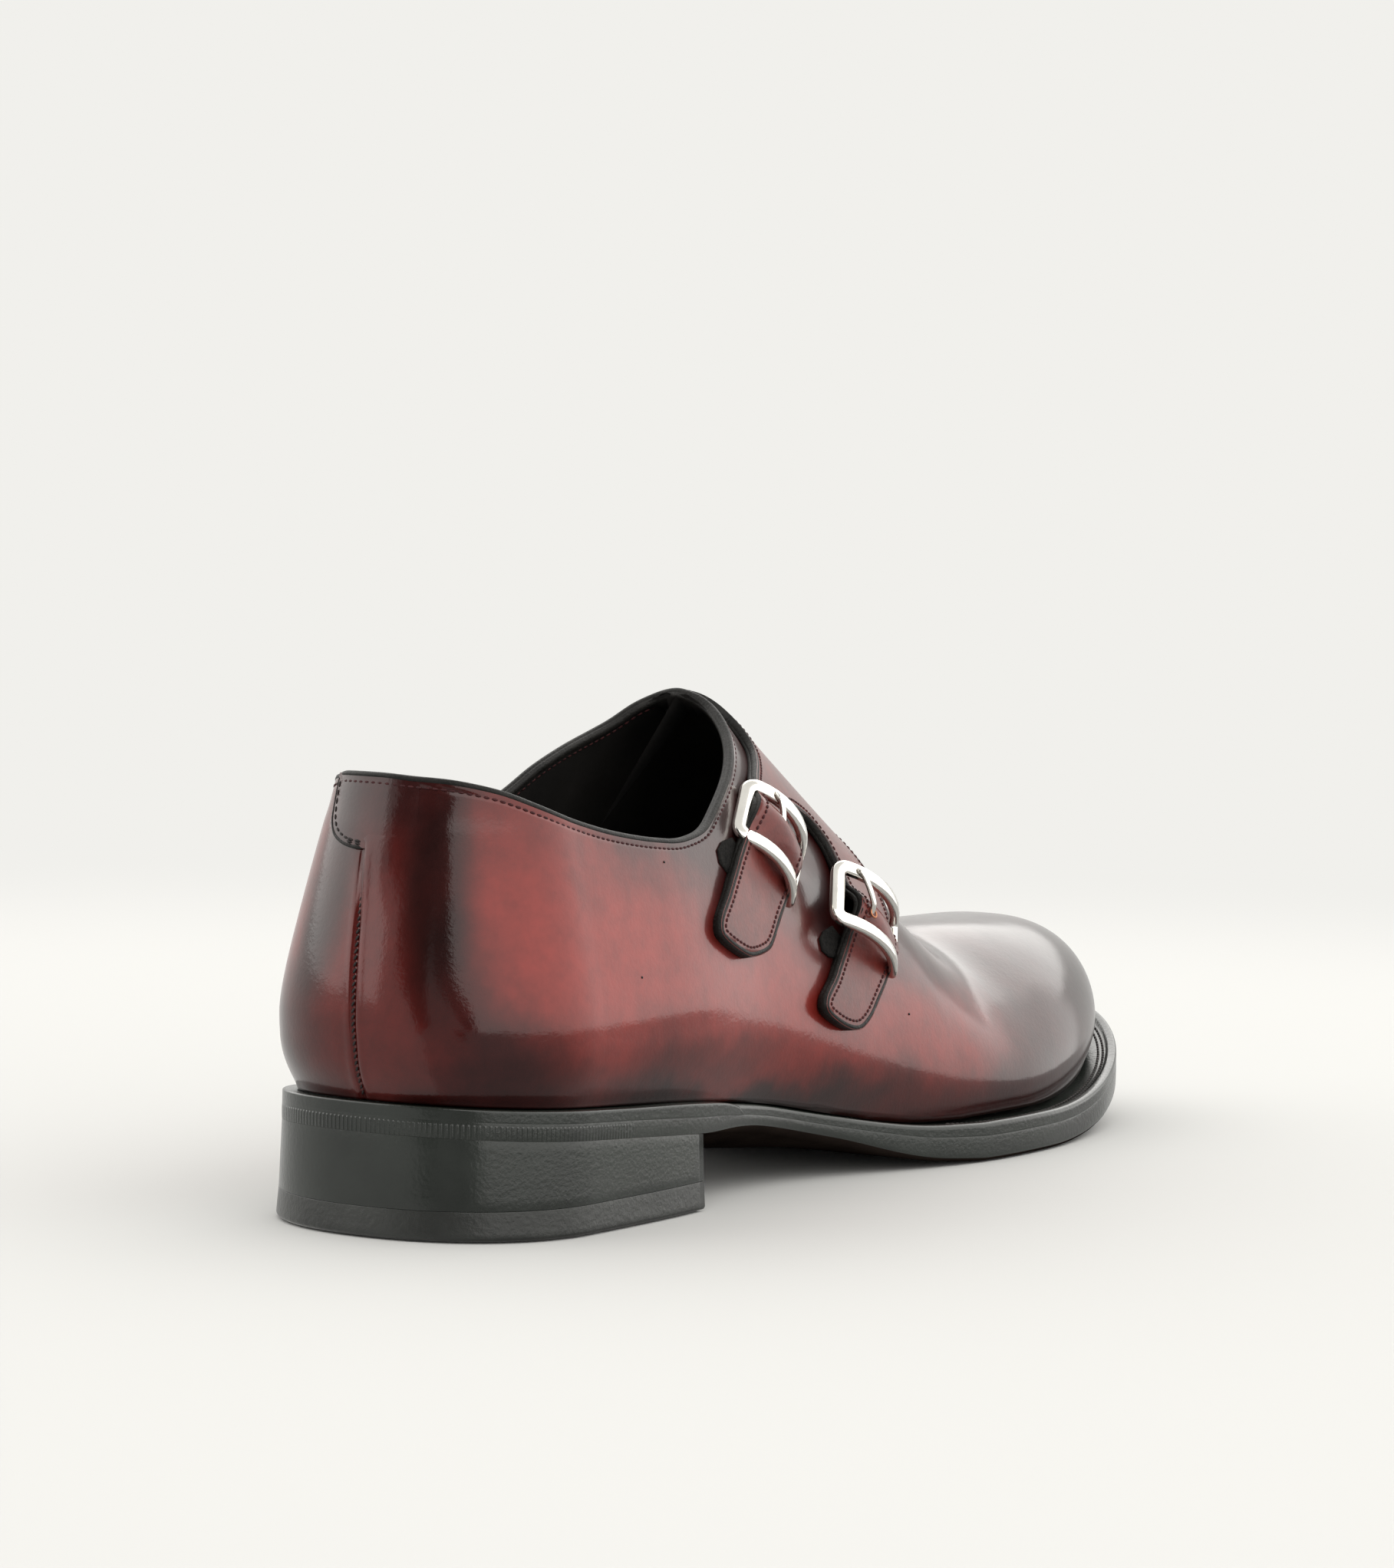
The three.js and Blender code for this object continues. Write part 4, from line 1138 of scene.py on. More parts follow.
flapLateralOutline = [
    (97.9, 102.5), (98.5, 99), (96, 94.5), (90, 91.3), (80.2, 87), (71, 80.5), (62.5, 73.4),
    (54, 66), (47.4, 60.2), (46.8, 58), (48.5, 56.2), (56, 52.6), (59, 51.9), (67, 52.8), (70, 54.6),
    (79.7, 62.8), (85.3, 68.1), (91.4, 73.6), (97.6, 79.6), (103, 80.6), (109, 79.1), (114, 76.6), (117, 72.5),
    (116.4, 68), (113, 62.5), (105.3, 53.3), (96, 45.6), (89, 40.6), (88.5, 38.6), (93.9, 34.9),
    (101.2, 33), (106.3, 34.6), (113, 39), (119.4, 43.7), (127, 49.5), (133.5, 56.5), (137, 64), (138.8, 71),
]

flapMedialOutline = [
    (96.2, 103), (94, 98), (89, 88), (84, 76), (81, 64), (80, 55), (82, 49), (87, 45.5),
    (100, 41.5), (115, 37.8), (130, 35.2), (140, 34.2), (145, 36), (147.5, 41), (147, 48), (144, 57),
    (141, 66), (139.6, 71),
]

# Buckles: middle, the directions across and along the strap and outwards, and the frame's sizes
rearBuckle = {
    "middle": Vector((79.87, -31.96, 75.44)),
    "across": Vector((0.6963, -0.1557, -0.7007)),
    "along": Vector((0.7142, 0.2475, 0.6547)),
    "outward": Vector((0.0715, -0.9563, 0.2836)),
    "arch": 15.9,
    "width": 25.8,
    "length": 14.6,
    "corner": 2.2,
    "bar": 3.4,
    "thickness": 2.3,
    "eyelet": (-2.2, -0.6, -0.35),
    "tongue": [  # across, along and above the frame, then half width
        (-2.2, -1.5, -1.3, 0.7), (-2.8, 0.6, 0.1, 0.8), (-3.9, 2.9, 0.9, 0.8), (-5.2, 4.9, 1.5, 0.8),
        (-6.3, 6.2, 1.8, 0.8), (-6.9, 7.0, 1.5, 0.7), (-7.1, 7.4, 1.2, 0.35)],
}
frontBuckle = {
    "middle": Vector((114.37, -36.67, 56.99)),
    "across": Vector((0.8273, -0.0959, -0.5534)),
    "along": Vector((0.5542, 0.3001, 0.7764)),
    "outward": Vector((0.0916, -0.9491, 0.3014)),
    "arch": 20.0,
    "width": 27.6,
    "length": 13.6,
    "corner": 2.2,
    "bar": 3.3,
    "thickness": 2.3,
    "eyelet": (-3.0, -1.0, -0.5),
    "tongue": [
        (-2.9, -1.0, -1.2, 0.7), (-3.8, 0.6, 0.0, 0.8), (-5.5, 2.4, 0.8, 0.8), (-7.3, 4.2, 1.4, 0.8),
        (-8.6, 5.5, 1.7, 0.8), (-9.3, 6.3, 1.5, 0.7), (-9.6, 6.8, 1.2, 0.35)],
}

strapLift = {"halfWidth": 10.5, "seat": 2.3, "seatReach": 17.0, "hump": 3.4, "humpReach": 7.6, "edgeDrop": 0.45}


def liftAt(point):  # how far a strap is raised over its buckle's hidden bar
    total = 0.0
    if point.y > 0:
        return total
    for buckle in (rearBuckle, frontBuckle):
        offset = point - buckle["middle"]
        along = offset.dot(buckle["along"])
        across = offset.dot(buckle["across"]) / strapLift["halfWidth"]
        seat = math.cos(clamp(abs(along) / strapLift["seatReach"]) * math.pi / 2) ** 2
        hump = math.cos(clamp(abs(along) / strapLift["humpReach"]) * math.pi / 2) ** 2
        arch = 1 - strapLift["edgeDrop"] * min(across * across, 1.2)
        fade = 1 - smoothStep(1.15, 1.7, abs(across))
        total += (strapLift["seat"] * seat + strapLift["hump"] * hump) * arch * fade
    return total


def flapPoint(x, across, level):
    plain = onLast(x, across, level)
    return onLast(x, across, level + liftAt(plain))


def flapOutline():
    level = flapSizes["level"]
    points = [Vector((x, acrossFromHeight(x, z, -1, level), 0)) for x, z in flapLateralOutline]
    points.append(Vector((flapSizes["frontCrossing"], 0, 0)))
    points += [Vector((x, acrossFromHeight(x, z, 1, level), 0)) for x, z in reversed(flapMedialOutline)]
    points.append(Vector((flapSizes["rearCrossing"], 0, 0)))
    return smoothCurve(points, 0.8, True)


def makeFlap():
    bm = bmesh.new()
    outline = flapOutline()
    bm.faces.new([bm.verts.new(p) for p in outline])
    cell = flapSizes["cell"]
    starts = [math.ceil(min(p[i] for p in outline) / cell) * cell + 0.013 for i in (0, 1)]
    cutIntoCells(bm, starts, [max(p[i] for p in outline) for i in (0, 1)], cell)
    for vert in bm.verts:
        vert.co = flapPoint(vert.co.x, vert.co.y, flapSizes["level"]) * mm
    piece = finishMesh(bm, "strap_flap_leather", [flapLeather, edgePaint])
    wall = piece.modifiers.new("wall", "SOLIDIFY")
    wall.thickness = flapSizes["thickness"] * mm
    wall.offset = -1
    wall.material_offset = 1
    wall.material_offset_rim = 1
    return putPiece(piece, "upper_leather", "strap_flap")


makeFlap()
print("flap made")

# The painted edge all round the flap, two layers with a fine line between them
flapEdgeProfile = [
    (-1.0, 0.02), (-0.85, 0.1), (-0.5, 0.1), (-0.2, 0.0), (-0.05, -0.3), (-0.03, -0.85), (-0.12, -1.1),
    (-0.24, -1.2), (-0.12, -1.3), (0.02, -1.55), (0.02, -2.05), (-0.2, -2.35), (-1.0, -2.35),
]


def flapBorder(spacing):  # places, points and outward and up directions round the flap
    level = flapSizes["level"]
    plan = evenLoop(flapOutline(), spacing)
    path = [flapPoint(p.x, p.y, level) for p in plan]
    frames = []
    for i, place in enumerate(plan):
        normal = normalOnLast(place.x, place.y, level)
        ahead = path[(i + 1) % len(path)] - path[i - 1]
        frames.append((ahead.normalized().cross(normal).normalized(), normal))
    middle = flapPoint(118.0, 0.0, level)
    if sum(f[0].dot(p - middle) for f, p in zip(frames, path)) < 0:
        frames = [(-outward, up) for outward, up in frames]
    return plan, path, frames


def makeFlapEdge():
    path, frames = flapBorder(1.0)[1:]
    bm = bmesh.new()
    sweepBand(bm, path, frames, flapEdgeProfile, True)
    piece = finishMesh(bm, "strap_flap_edge", [edgePaint], 0.000005)
    return putPiece(piece, "upper_leather")


makeFlapEdge()
print("flap edge made")


flapStitch = {"inset": 1.9, "pitch": 1.45, "length": 1.1, "thickness": 0.66, "clear": 1.2}


def planStep(x, across, move):  # the change of place on the last that moves a point by this much
    step = 0.3
    alongX = (onLast(x + step, across, 0) - onLast(x - step, across, 0)) / (2 * step)
    alongA = (onLast(x, across + step, 0) - onLast(x, across - step, 0)) / (2 * step)
    a, b, c = alongX.dot(alongX), alongX.dot(alongA), alongA.dot(alongA)
    d, e = alongX.dot(move), alongA.dot(move)
    total = a * c - b * b
    return Vector(((d * c - b * e) / total, (a * e - b * d) / total, 0))


def makeFlapStitches():
    plan, _, frames = flapBorder(0.9)
    inner = [p + planStep(p.x, p.y, f[0] * -flapStitch["inset"]) for p, f in zip(plan, frames)]
    kept = []
    for place, (_, normal) in zip(inner, frames):  # drops the crowded points of tight inner corners
        nearest = min((Vector((place.x, place.y, 0)) - Vector((q.x, q.y, 0))).length for q in plan)
        if nearest > flapStitch["clear"]:
            kept.append((place, normal))
    bm = bmesh.new()
    points = [flapPoint(p.x, p.y, flapSizes["level"] + 0.03) for p, n in kept]
    stitchRow(bm, points, [n for p, n in kept], flapStitch["pitch"], flapStitch["length"],
              flapStitch["thickness"], True)
    finishStitches(bm, "strap_flap_stitches", threadRed)


makeFlapStitches()
print("flap stitched")


def roundedRectangle(width, length, corner, perCorner=8, perSide=10):
    points = []
    for quarter, (cx, cy) in enumerate(((1, 1), (-1, 1), (-1, -1), (1, -1))):
        centre = Vector((cx * (width / 2 - corner), cy * (length / 2 - corner), 0))
        for i in range(perCorner + 1):
            angle = (quarter + i / perCorner) * math.pi / 2
            points.append(centre + Vector((math.cos(angle), math.sin(angle), 0)) * corner)
    result = []
    for i, point in enumerate(points):
        following = points[(i + 1) % len(points)]
        steps = perSide if (following - point).length > 4 else 1
        result += [point.lerp(following, k / steps) for k in range(steps)]
    return result


def onBuckle(buckle, u, v, height):
    turn = u / buckle["arch"]
    radius = buckle["arch"] + height
    return (buckle["middle"] + buckle["across"] * (math.sin(turn) * radius) + buckle["along"] * v
            + buckle["outward"] * (math.cos(turn) * radius - buckle["arch"]))


def makeFrame(buckle, name, node):
    plan = roundedRectangle(buckle["width"], buckle["length"], buckle["corner"])
    half, thick = buckle["bar"] / 2, buckle["thickness"] / 2
    profile = [(math.copysign(abs(math.cos(a)) ** 0.7, math.cos(a)) * half,
                math.copysign(abs(math.sin(a)) ** 0.7, math.sin(a)) * thick)
               for a in [i / 16 * 2 * math.pi for i in range(16)]]
    bm = bmesh.new()
    count = len(plan)

    def place(column, row):
        i = column % count
        ahead = (plan[(i + 1) % count] - plan[i - 1]).normalized()
        outward = Vector((ahead.y, -ahead.x, 0))
        a, b = profile[row % len(profile)]
        spot = plan[i] + outward * a
        return onBuckle(buckle, spot.x, spot.y, b)
    gridSurface(bm, count + 1, len(profile) + 1, place)
    piece = finishMesh(bm, name, [nickel], 0.000005)
    return putPiece(piece, "buckle_metal", node)


makeFrame(rearBuckle, "buckle_ring_rear", "buckle_frame_rear")
makeFrame(frontBuckle, "buckle_ring_front", "buckle_frame_front")


def makeTongue(buckle, name, node):
    stops = buckle["tongue"]
    path = smoothCurve([onBuckle(buckle, *stop[:3]) for stop in stops], 0.6)
    frames = []
    for i in range(len(path)):
        ahead = (path[min(i + 1, len(path) - 1)] - path[max(i - 1, 0)]).normalized()
        side = ahead.cross(buckle["outward"]).normalized()
        up = side.cross(ahead).normalized()
        up = up if up.dot(buckle["outward"]) > 0 else -up
        share = i / (len(path) - 1) * (len(stops) - 1)
        k = min(int(share), len(stops) - 2)
        width = stops[k][3] + (stops[k + 1][3] - stops[k][3]) * (share - k)
        frames.append((side * width, up * width * 0.8))
    profile = [(math.cos(i / 12 * 2 * math.pi), math.sin(i / 12 * 2 * math.pi)) for i in range(12)]
    bm = bmesh.new()
    sweepBand(bm, path, frames, profile, False)
    piece = finishMesh(bm, name, [nickel], 0.000005)
    return putPiece(piece, "buckle_metal", node)


makeTongue(rearBuckle, "buckle_tongue_rear", "buckle_prong_rear")
makeTongue(frontBuckle, "buckle_tongue_front", "buckle_prong_front")


def makeEyelets():
    bm = bmesh.new()
    for buckle in (rearBuckle, frontBuckle):
        u, v, h = buckle["eyelet"]
        middle = onBuckle(buckle, u, v, h)
        up = (onBuckle(buckle, u, v, h + 1) - middle).normalized()
        first = buckle["along"]
        second = up.cross(first).normalized()

        def place(column, row):
            a, b = column / 24 * 2 * math.pi, row / 8 * 2 * math.pi
            radius = 0.95 + 0.24 * math.cos(b)
            return (middle + first * (math.cos(a) * radius) + second * (math.sin(a) * radius)
                    + up * (0.2 * math.sin(b)))
        gridSurface(bm, 25, 9, place)
    piece = finishMesh(bm, "strap_eyelets", [copperRim], 0.000005)
    return putPiece(piece, "buckle_metal")


makeEyelets()
print("buckles made")

# Sole: layers on the outline of its edge

soleSizes = {
    "heelColumns": 30,
    "straightStep": 2.5,
    "toeColumns": 48,
    "topLift": 6.0,
    "outsole": 3.6,
    "outsoleFore": 5.6,
    "rand": 2.0,
    "insole": 3.2,
}


def outsoleTop(x):
    blend = clamp((x - shoeSizes["breast"]) / (shoeSizes["flatStart"] - shoeSizes["breast"]))
    thickness = soleSizes["outsole"] + (soleSizes["outsoleFore"] - soleSizes["outsole"]) * blend
    return soleBottom(x) + min(thickness, edgeHeight(x) - shoeSizes["layerGap"] - soleSizes["rand"])


def solePlaces(start, end):  # stations along the sole, heel round from 0 to 1 and toe round from 2 to 3
    places = []
    if start is None:
        places += [i / soleSizes["heelColumns"] for i in range(soleSizes["heelColumns"])]
    x = 0.0 if start is None else start
    stop = shoeSizes["toeRoundStart"] if end is None else end
    count = int((stop - x) / soleSizes["straightStep"])
    places += [1 + (x + (stop - x) * i / count) / shoeSizes["toeRoundStart"] for i in range(count + 1)]
    if end is None:
        places += [2 + i / soleSizes["toeColumns"] for i in range(1, soleSizes["toeColumns"] + 1)]
    return places


def soleEdge(place, side, inset):  # point of the sole's outline drawn in by the inset
    if place < 1:
        angle = place * math.pi / 2
        power = 2 / shoeSizes["heelRoundness"]
        return (-(-shoeSizes["heelBack"] - inset) * math.cos(angle) ** power,
                side * (shoeSizes["heelHalfWidth"] - inset) * math.sin(angle) ** power)
    if place <= 2:
        x, share = (place - 1) * shoeSizes["toeRoundStart"], 1.0
    else:
        angle = (place - 2) * math.pi / 2
        reachOfToe = shoeSizes["toeTip"] - inset - shoeSizes["toeRoundStart"]
        x = shoeSizes["toeRoundStart"] + reachOfToe * math.sin(angle) ** (2 / shoeSizes["toeRoundAlong"])
        share = max(math.cos(angle), 0.0) ** (2 / shoeSizes["toeRoundAcross"])
    width = ((soleLateral(x) if side < 0 else soleMedial(x)) - inset) * share
    drift = clamp((x - shoeSizes["toeRoundStart"]) / (shoeSizes["toeTip"] - shoeSizes["toeRoundStart"]))
    return x, shoeSizes["toeShift"] * drift ** 1.5 + side * width


def valueAt(value, x):
    return value(x) if callable(value) else value


def makeLayer(name, start, end, rows, materials, slotName, node, spread=4, materialOf=None, belly=0.0):
    # rows run from the underside's edge to the top's edge, each with an inset and a height
    places = solePlaces(start, end)
    ring = []
    for side in (-1, 1):
        first = 0 if side < 0 else 1
        half = [(side, k / spread, rows[0]) for k in range(first, spread)]
        half += [(side, 1.0, row) for row in rows]
        half += [(side, k / spread, rows[-1]) for k in range(spread - 1, first - 1, -1)]
        ring += half if side < 0 else half[::-1]
    bm = bmesh.new()

    def place(column, row):
        side, share, (inset, height) = ring[row % len(ring)]
        insetHere = valueAt(inset, soleEdge(places[column], side, 0.0)[0])
        x, y = soleEdge(places[column], side, insetHere)
        other = soleEdge(places[column], -side, insetHere)[1]
        middle = (y + other) / 2
        under = valueAt(belly, x) * (1 - share * share) if height is rows[0][1] else 0.0
        return x, middle + (y - middle) * share, height(x) - under
    verts = gridSurface(bm, len(places), len(ring) + 1, place)
    bmesh.ops.remove_doubles(bm, verts=verts, dist=0.000004)
    edges = [e for e in bm.edges if e.is_boundary]
    if edges:
        bmesh.ops.holes_fill(bm, edges=edges, sides=0)
    piece = finishMesh(bm, name, materials, 0.000004)
    for polygon in piece.data.polygons:
        if materialOf:
            polygon.material_index = materialOf(polygon)
    return putPiece(piece, slotName, node)


def roundedRows(lowInset, highInset, low, high, lowRound, highRound, bulge=0.0, steps=5):
    # rows of an edge with its two corners rounded and its middle a little proud
    rows = []
    for i in range(steps + 1):
        angle = i / steps * math.pi / 2
        rows.append((lambda x, a=angle: valueAt(lowInset, x) + valueAt(lowRound, x) * (1 - math.sin(a)),
                     lambda x, a=angle: low(x) + valueAt(lowRound, x) * (1 - math.cos(a))))
    for i in range(1, 6):
        share = i / 6
        rows.append((lambda x, s=share: (valueAt(lowInset, x) * (1 - s) + valueAt(highInset, x) * s
                                         - bulge * math.sin(s * math.pi)),
                     lambda x, s=share: (low(x) + valueAt(lowRound, x)
                                         + (high(x) - low(x) - valueAt(lowRound, x) - highRound) * s)))
    for i in range(steps + 1):
        angle = i / steps * math.pi / 2
        rows.append((lambda x, a=angle: valueAt(highInset, x) + highRound * (1 - math.cos(a)),
                     lambda x, a=angle: high(x) - highRound * (1 - math.sin(a))))
    return rows


heelFlare = 0.8
heelInset = 0.2 - 0.75 * heelFlare  # of the block where it meets the top lift
topLiftRows = roundedRows(-heelFlare, heelInset, lambda x: 0.0, lambda x: soleSizes["topLift"], 0.9, 0.12)
makeLayer("heel_top_lift_rubber", None, shoeSizes["breast"], topLiftRows, [rubberFinish], "rubber",
          "heel_top_lift")
stackRows = roundedRows(heelInset, 0.02, lambda x: soleSizes["topLift"] + 0.03,
                        lambda x: soleBottom(x) - 0.01, 0.1, 0.02)
makeLayer("heel_stack_leather", None, shoeSizes["breast"], stackRows, [soleEdgeFinish], "sole_edge",
          "heel_stack")


# the belly's depth, with the near-black underside, is partly painted shade under the waist
waist = {"belly": 5.2, "full": 70.0, "flat": 128.0}


def waistRound(x):  # the sole's edge rolls under at the waist
    return 0.03 + 0.97 * smoothStep(36, 60, x) + 1.5 * smoothStep(44, 70, x) * (1 - smoothStep(95, 140, x))


wheelMarks = {"pitch": 1.05, "from": 3.4, "to": 6.6, "until": 14.0, "depth": 0.00022}


def markedEdge():  # sole edge finish with the upright marks of the edge wheel
    material = soleEdgeFinish.copy()
    material.name = "sole_edge_wheeled"
    nodes, links = material.node_tree.nodes, material.node_tree.links
    shader = nodes["Principled BSDF"]
    place = nodes.new("ShaderNodeAttribute")
    place.attribute_name = "edgePlace"
    split = nodes.new("ShaderNodeSeparateXYZ")
    links.new(place.outputs["Vector"], split.inputs["Vector"])
    turns = nodes.new("ShaderNodeMath")
    turns.operation = "MULTIPLY"
    turns.inputs[1].default_value = 2 * math.pi / wheelMarks["pitch"]
    links.new(split.outputs["X"], turns.inputs[0])
    wave = nodes.new("ShaderNodeMath")
    wave.operation = "SINE"
    links.new(turns.outputs["Value"], wave.inputs[0])
    ridge = rangeNode(nodes, links, wave.outputs["Value"], 0.0, 1.0)
    ridge.node.inputs["From Min"].default_value = -0.2
    ridge.node.inputs["From Max"].default_value = 0.9
    masks = [ridge]
    for socket, start, end, low, high in (("Y", wheelMarks["from"] - 0.3, wheelMarks["from"], 0.0, 1.0),
                                          ("Y", wheelMarks["to"], wheelMarks["to"] + 0.3, 1.0, 0.0),
                                          ("Z", wheelMarks["until"] - 12, wheelMarks["until"], 1.0, 0.0)):
        mask = rangeNode(nodes, links, split.outputs[socket], low, high)
        mask.node.inputs["From Min"].default_value = start
        mask.node.inputs["From Max"].default_value = end
        masks.append(mask)
    height = masks[0]
    for mask in masks[1:]:
        product = nodes.new("ShaderNodeMath")
        product.operation = "MULTIPLY"
        links.new(height, product.inputs[0])
        links.new(mask, product.inputs[1])
        height = product.outputs["Value"]
    below = shader.inputs["Normal"].links[0].from_socket
    links.new(bumpNode(nodes, links, height, 0.8, wheelMarks["depth"], below), shader.inputs["Normal"])
    return material


wheeledEdge = markedEdge()
outsoleRows = roundedRows(0.0, 0.0, soleBottom, outsoleTop, waistRound, 0.05, 0.04)


def waistBelly(x):  # the underside of the waist is slightly rounded across; this belly and its near-black underside are partly painted shade under the waist
    begins = smoothStep(shoeSizes["breast"] - 1, shoeSizes["breast"] + 3, x)
    return waist["belly"] * begins * (1 - smoothStep(waist["full"], waist["flat"], x))


# underside faces take the near-black finish, partly painted shade under the waist
outsole = makeLayer("outsole_leather_layer", None, None, outsoleRows, [wheeledEdge, soleUnderAndPaintedShade],
                    "outsole_leather", "outsole", 8, lambda p: 1 if p.normal.z < -0.35 else 0, waistBelly)


def markEdge(piece):  # each vertex keeps its run along the edge and its depth below the sole's top
    layer = piece.data.attributes.new("edgePlace", "FLOAT_VECTOR", "POINT")
    for vertex, item in zip(piece.data.vertices, layer.data):
        x, y, z = vertex.co / mm
        run = x if x > 0 else -math.atan2(-x, abs(y)) * 33.0
        item.vector = (run, soleTop(x) - z, x)


markEdge(outsole)

randEnding = {"from": 46.0, "to": 61.0, "proud": 0.5, "above": 0.35}


def randTop(x):
    share = clamp((x - randEnding["from"]) / (randEnding["to"] - randEnding["from"]))
    full = soleTop(x) + randEnding["above"] * smoothStep(10, 40, x) - outsoleTop(x)
    return outsoleTop(x) + 0.02 + full * (0.12 + 0.88 * max(1 - share ** 2.6, 0.0) ** 0.5)


def randInset(x):
    return -randEnding["proud"] * smoothStep(14, 42, x)


randRows = roundedRows(randInset, randInset, lambda x: outsoleTop(x) - 0.05, randTop, 0.02, 0.4)
makeLayer("heel_rand_leather", None, randEnding["to"], randRows, [soleEdgeFinish], "sole_edge", "heel_rand")

channel = {"rim": 2.3, "depth": 1.0, "from": 118.0, "to": 168.0}


def channelFloor(x):
    return soleTop(x) - channel["depth"] * smoothStep(channel["from"], channel["to"], x)


def weltInset(x):
    return 0.02 + 0.4 * (1 - smoothStep(64, 92, x))


weltRows = roundedRows(weltInset, weltInset, lambda x: outsoleTop(x) - 0.08, soleTop, 0.01, 0.95)
weltRows += [
    (channel["rim"] - 0.35, soleTop),
    (channel["rim"] - 0.1, lambda x: soleTop(x) - 0.08 * (soleTop(x) - channelFloor(x))),
    (channel["rim"] + 0.15, lambda x: soleTop(x) - 0.55 * (soleTop(x) - channelFloor(x))),
    (channel["rim"] + 0.4, lambda x: channelFloor(x) + 0.08),
    (channel["rim"] + 0.8, channelFloor),
]
makeLayer("welt_leather", 46.0, None, weltRows, [soleEdgeFinish], "sole_edge", "welt")


weltStitch = {"rows": (1.15, 2.35), "pitch": 1.7, "length": 1.35, "thickness": 0.62, "slant": 0.12,
              "lateralStart": 140.0, "medialStart": 118.0}


def makeWeltStitches():
    bm = bmesh.new()
    for row in weltStitch["rows"]:
        inset = channel["rim"] + row
        path = []
        for side in (-1, 1):
            half = []
            start = weltStitch["lateralStart"] if side < 0 else weltStitch["medialStart"]
            straight = np.arange(start, shoeSizes["toeRoundStart"], 2.0)
            places = [1 + x / shoeSizes["toeRoundStart"] for x in straight]
            places += [2 + i / 60 for i in range(61)]
            for place in places:
                x, y = soleEdge(place, side, inset)
                half.append(Vector((x, y, channelFloor(x) + 0.1)))
            path += half if side < 0 else half[::-1][1:]
        stitchRow(bm, path, [Vector((0, 0, 1))] * len(path), weltStitch["pitch"], weltStitch["length"],
                  weltStitch["thickness"], slant=weltStitch["slant"])
    finishStitches(bm, "welt_stitches", threadBlack)


makeWeltStitches()
print("sole made")

# Sock inside the shoe, on the insole


def makeSock():
    bm = bmesh.new()
    inset = shoeSizes["upperWall"] + 0.5
    stations = [i / 20 for i in range(20)] + [1 + i / 60 for i in range(61)]
    stations += [2 + i / 30 for i in range(1, 31)]
    thick = soleSizes["insole"]
    ring = [(-1, k / 4, 0.1) for k in range(5)] + [(-1, 1 - k / 4, thick) for k in range(5)]
    ring += [(1, k / 4, thick) for k in range(1, 5)] + [(1, 1 - k / 4, 0.1) for k in range(4)]

    def place(column, row):
        station = stations[column]
        side, share, level = ring[row % len(ring)]
        edge = lastPoint(station, side, 0.0, -inset)
        other = lastPoint(station, -side, 0.0, -inset)
        middle = (edge.y + other.y) / 2
        return edge.x, middle + (edge.y - middle) * share, soleTop(edge.x) + shoeSizes["layerGap"] + level
    gridSurface(bm, len(stations), len(ring) + 1, place)
    piece = finishMesh(bm, "insole_sock", [sockFinish], 0.000004)
    return putPiece(piece, "lining_leather", "insole")


makeSock()

# Elastic straps that hold the buckles, from under the strap to a slit in the quarter

elasticSizes = {
    "level": 0.55,
    "thickness": 0.6,
    "cell": 1.2,
    "rear": [(55.8, 71.6), (56.0, 74.2), (59, 75.8), (64, 76.4), (67, 73), (61.4, 68.8), (58.2, 69.4)],
    "front": [(95.8, 50.4), (96.2, 52.8), (99, 54.2), (104, 55.0), (107, 52), (101.0, 48.4), (98.2, 48.8)],
}


def makeElastic(outline, name, node):
    level, cell = elasticSizes["level"], elasticSizes["cell"]
    bm = bmesh.new()
    plan = [Vector((x, acrossFromHeight(x, z, -1, level), 0)) for x, z in outline]
    bm.faces.new([bm.verts.new(p) for p in plan])
    starts = [min(p[i] for p in plan) + cell for i in (0, 1)]
    cutIntoCells(bm, starts, [max(p[i] for p in plan) for i in (0, 1)], cell)
    for vert in bm.verts:
        vert.co = onLast(vert.co.x, vert.co.y, level) * mm
    piece = finishMesh(bm, name, [elasticWeave])
    wall = piece.modifiers.new("wall", "SOLIDIFY")
    wall.thickness = elasticSizes["thickness"] * mm
    wall.offset = -1
    return putPiece(piece, "elastic", node)


makeElastic(elasticSizes["rear"], "elastic_rear", "buckle_loop_rear")
makeElastic(elasticSizes["front"], "elastic_front", "buckle_loop_front")
print("small pieces made")

# Floor, backdrop, light and camera

studioMiddle = Vector((100, 0, 50))
studio = {
    "paper": (0.456, 0.456, 0.449),
    "air": (0.879, 0.871, 0.839),
    "cameraPlace": (-0.9588, -0.6232, 0.1677),
    "right": (0.5102, -0.8597, 0.0226),
    "up": (0.0465, 0.0539, 0.9974),
    "back": (-0.8588, -0.5079, 0.0675),
    "lens": 128.3,
}


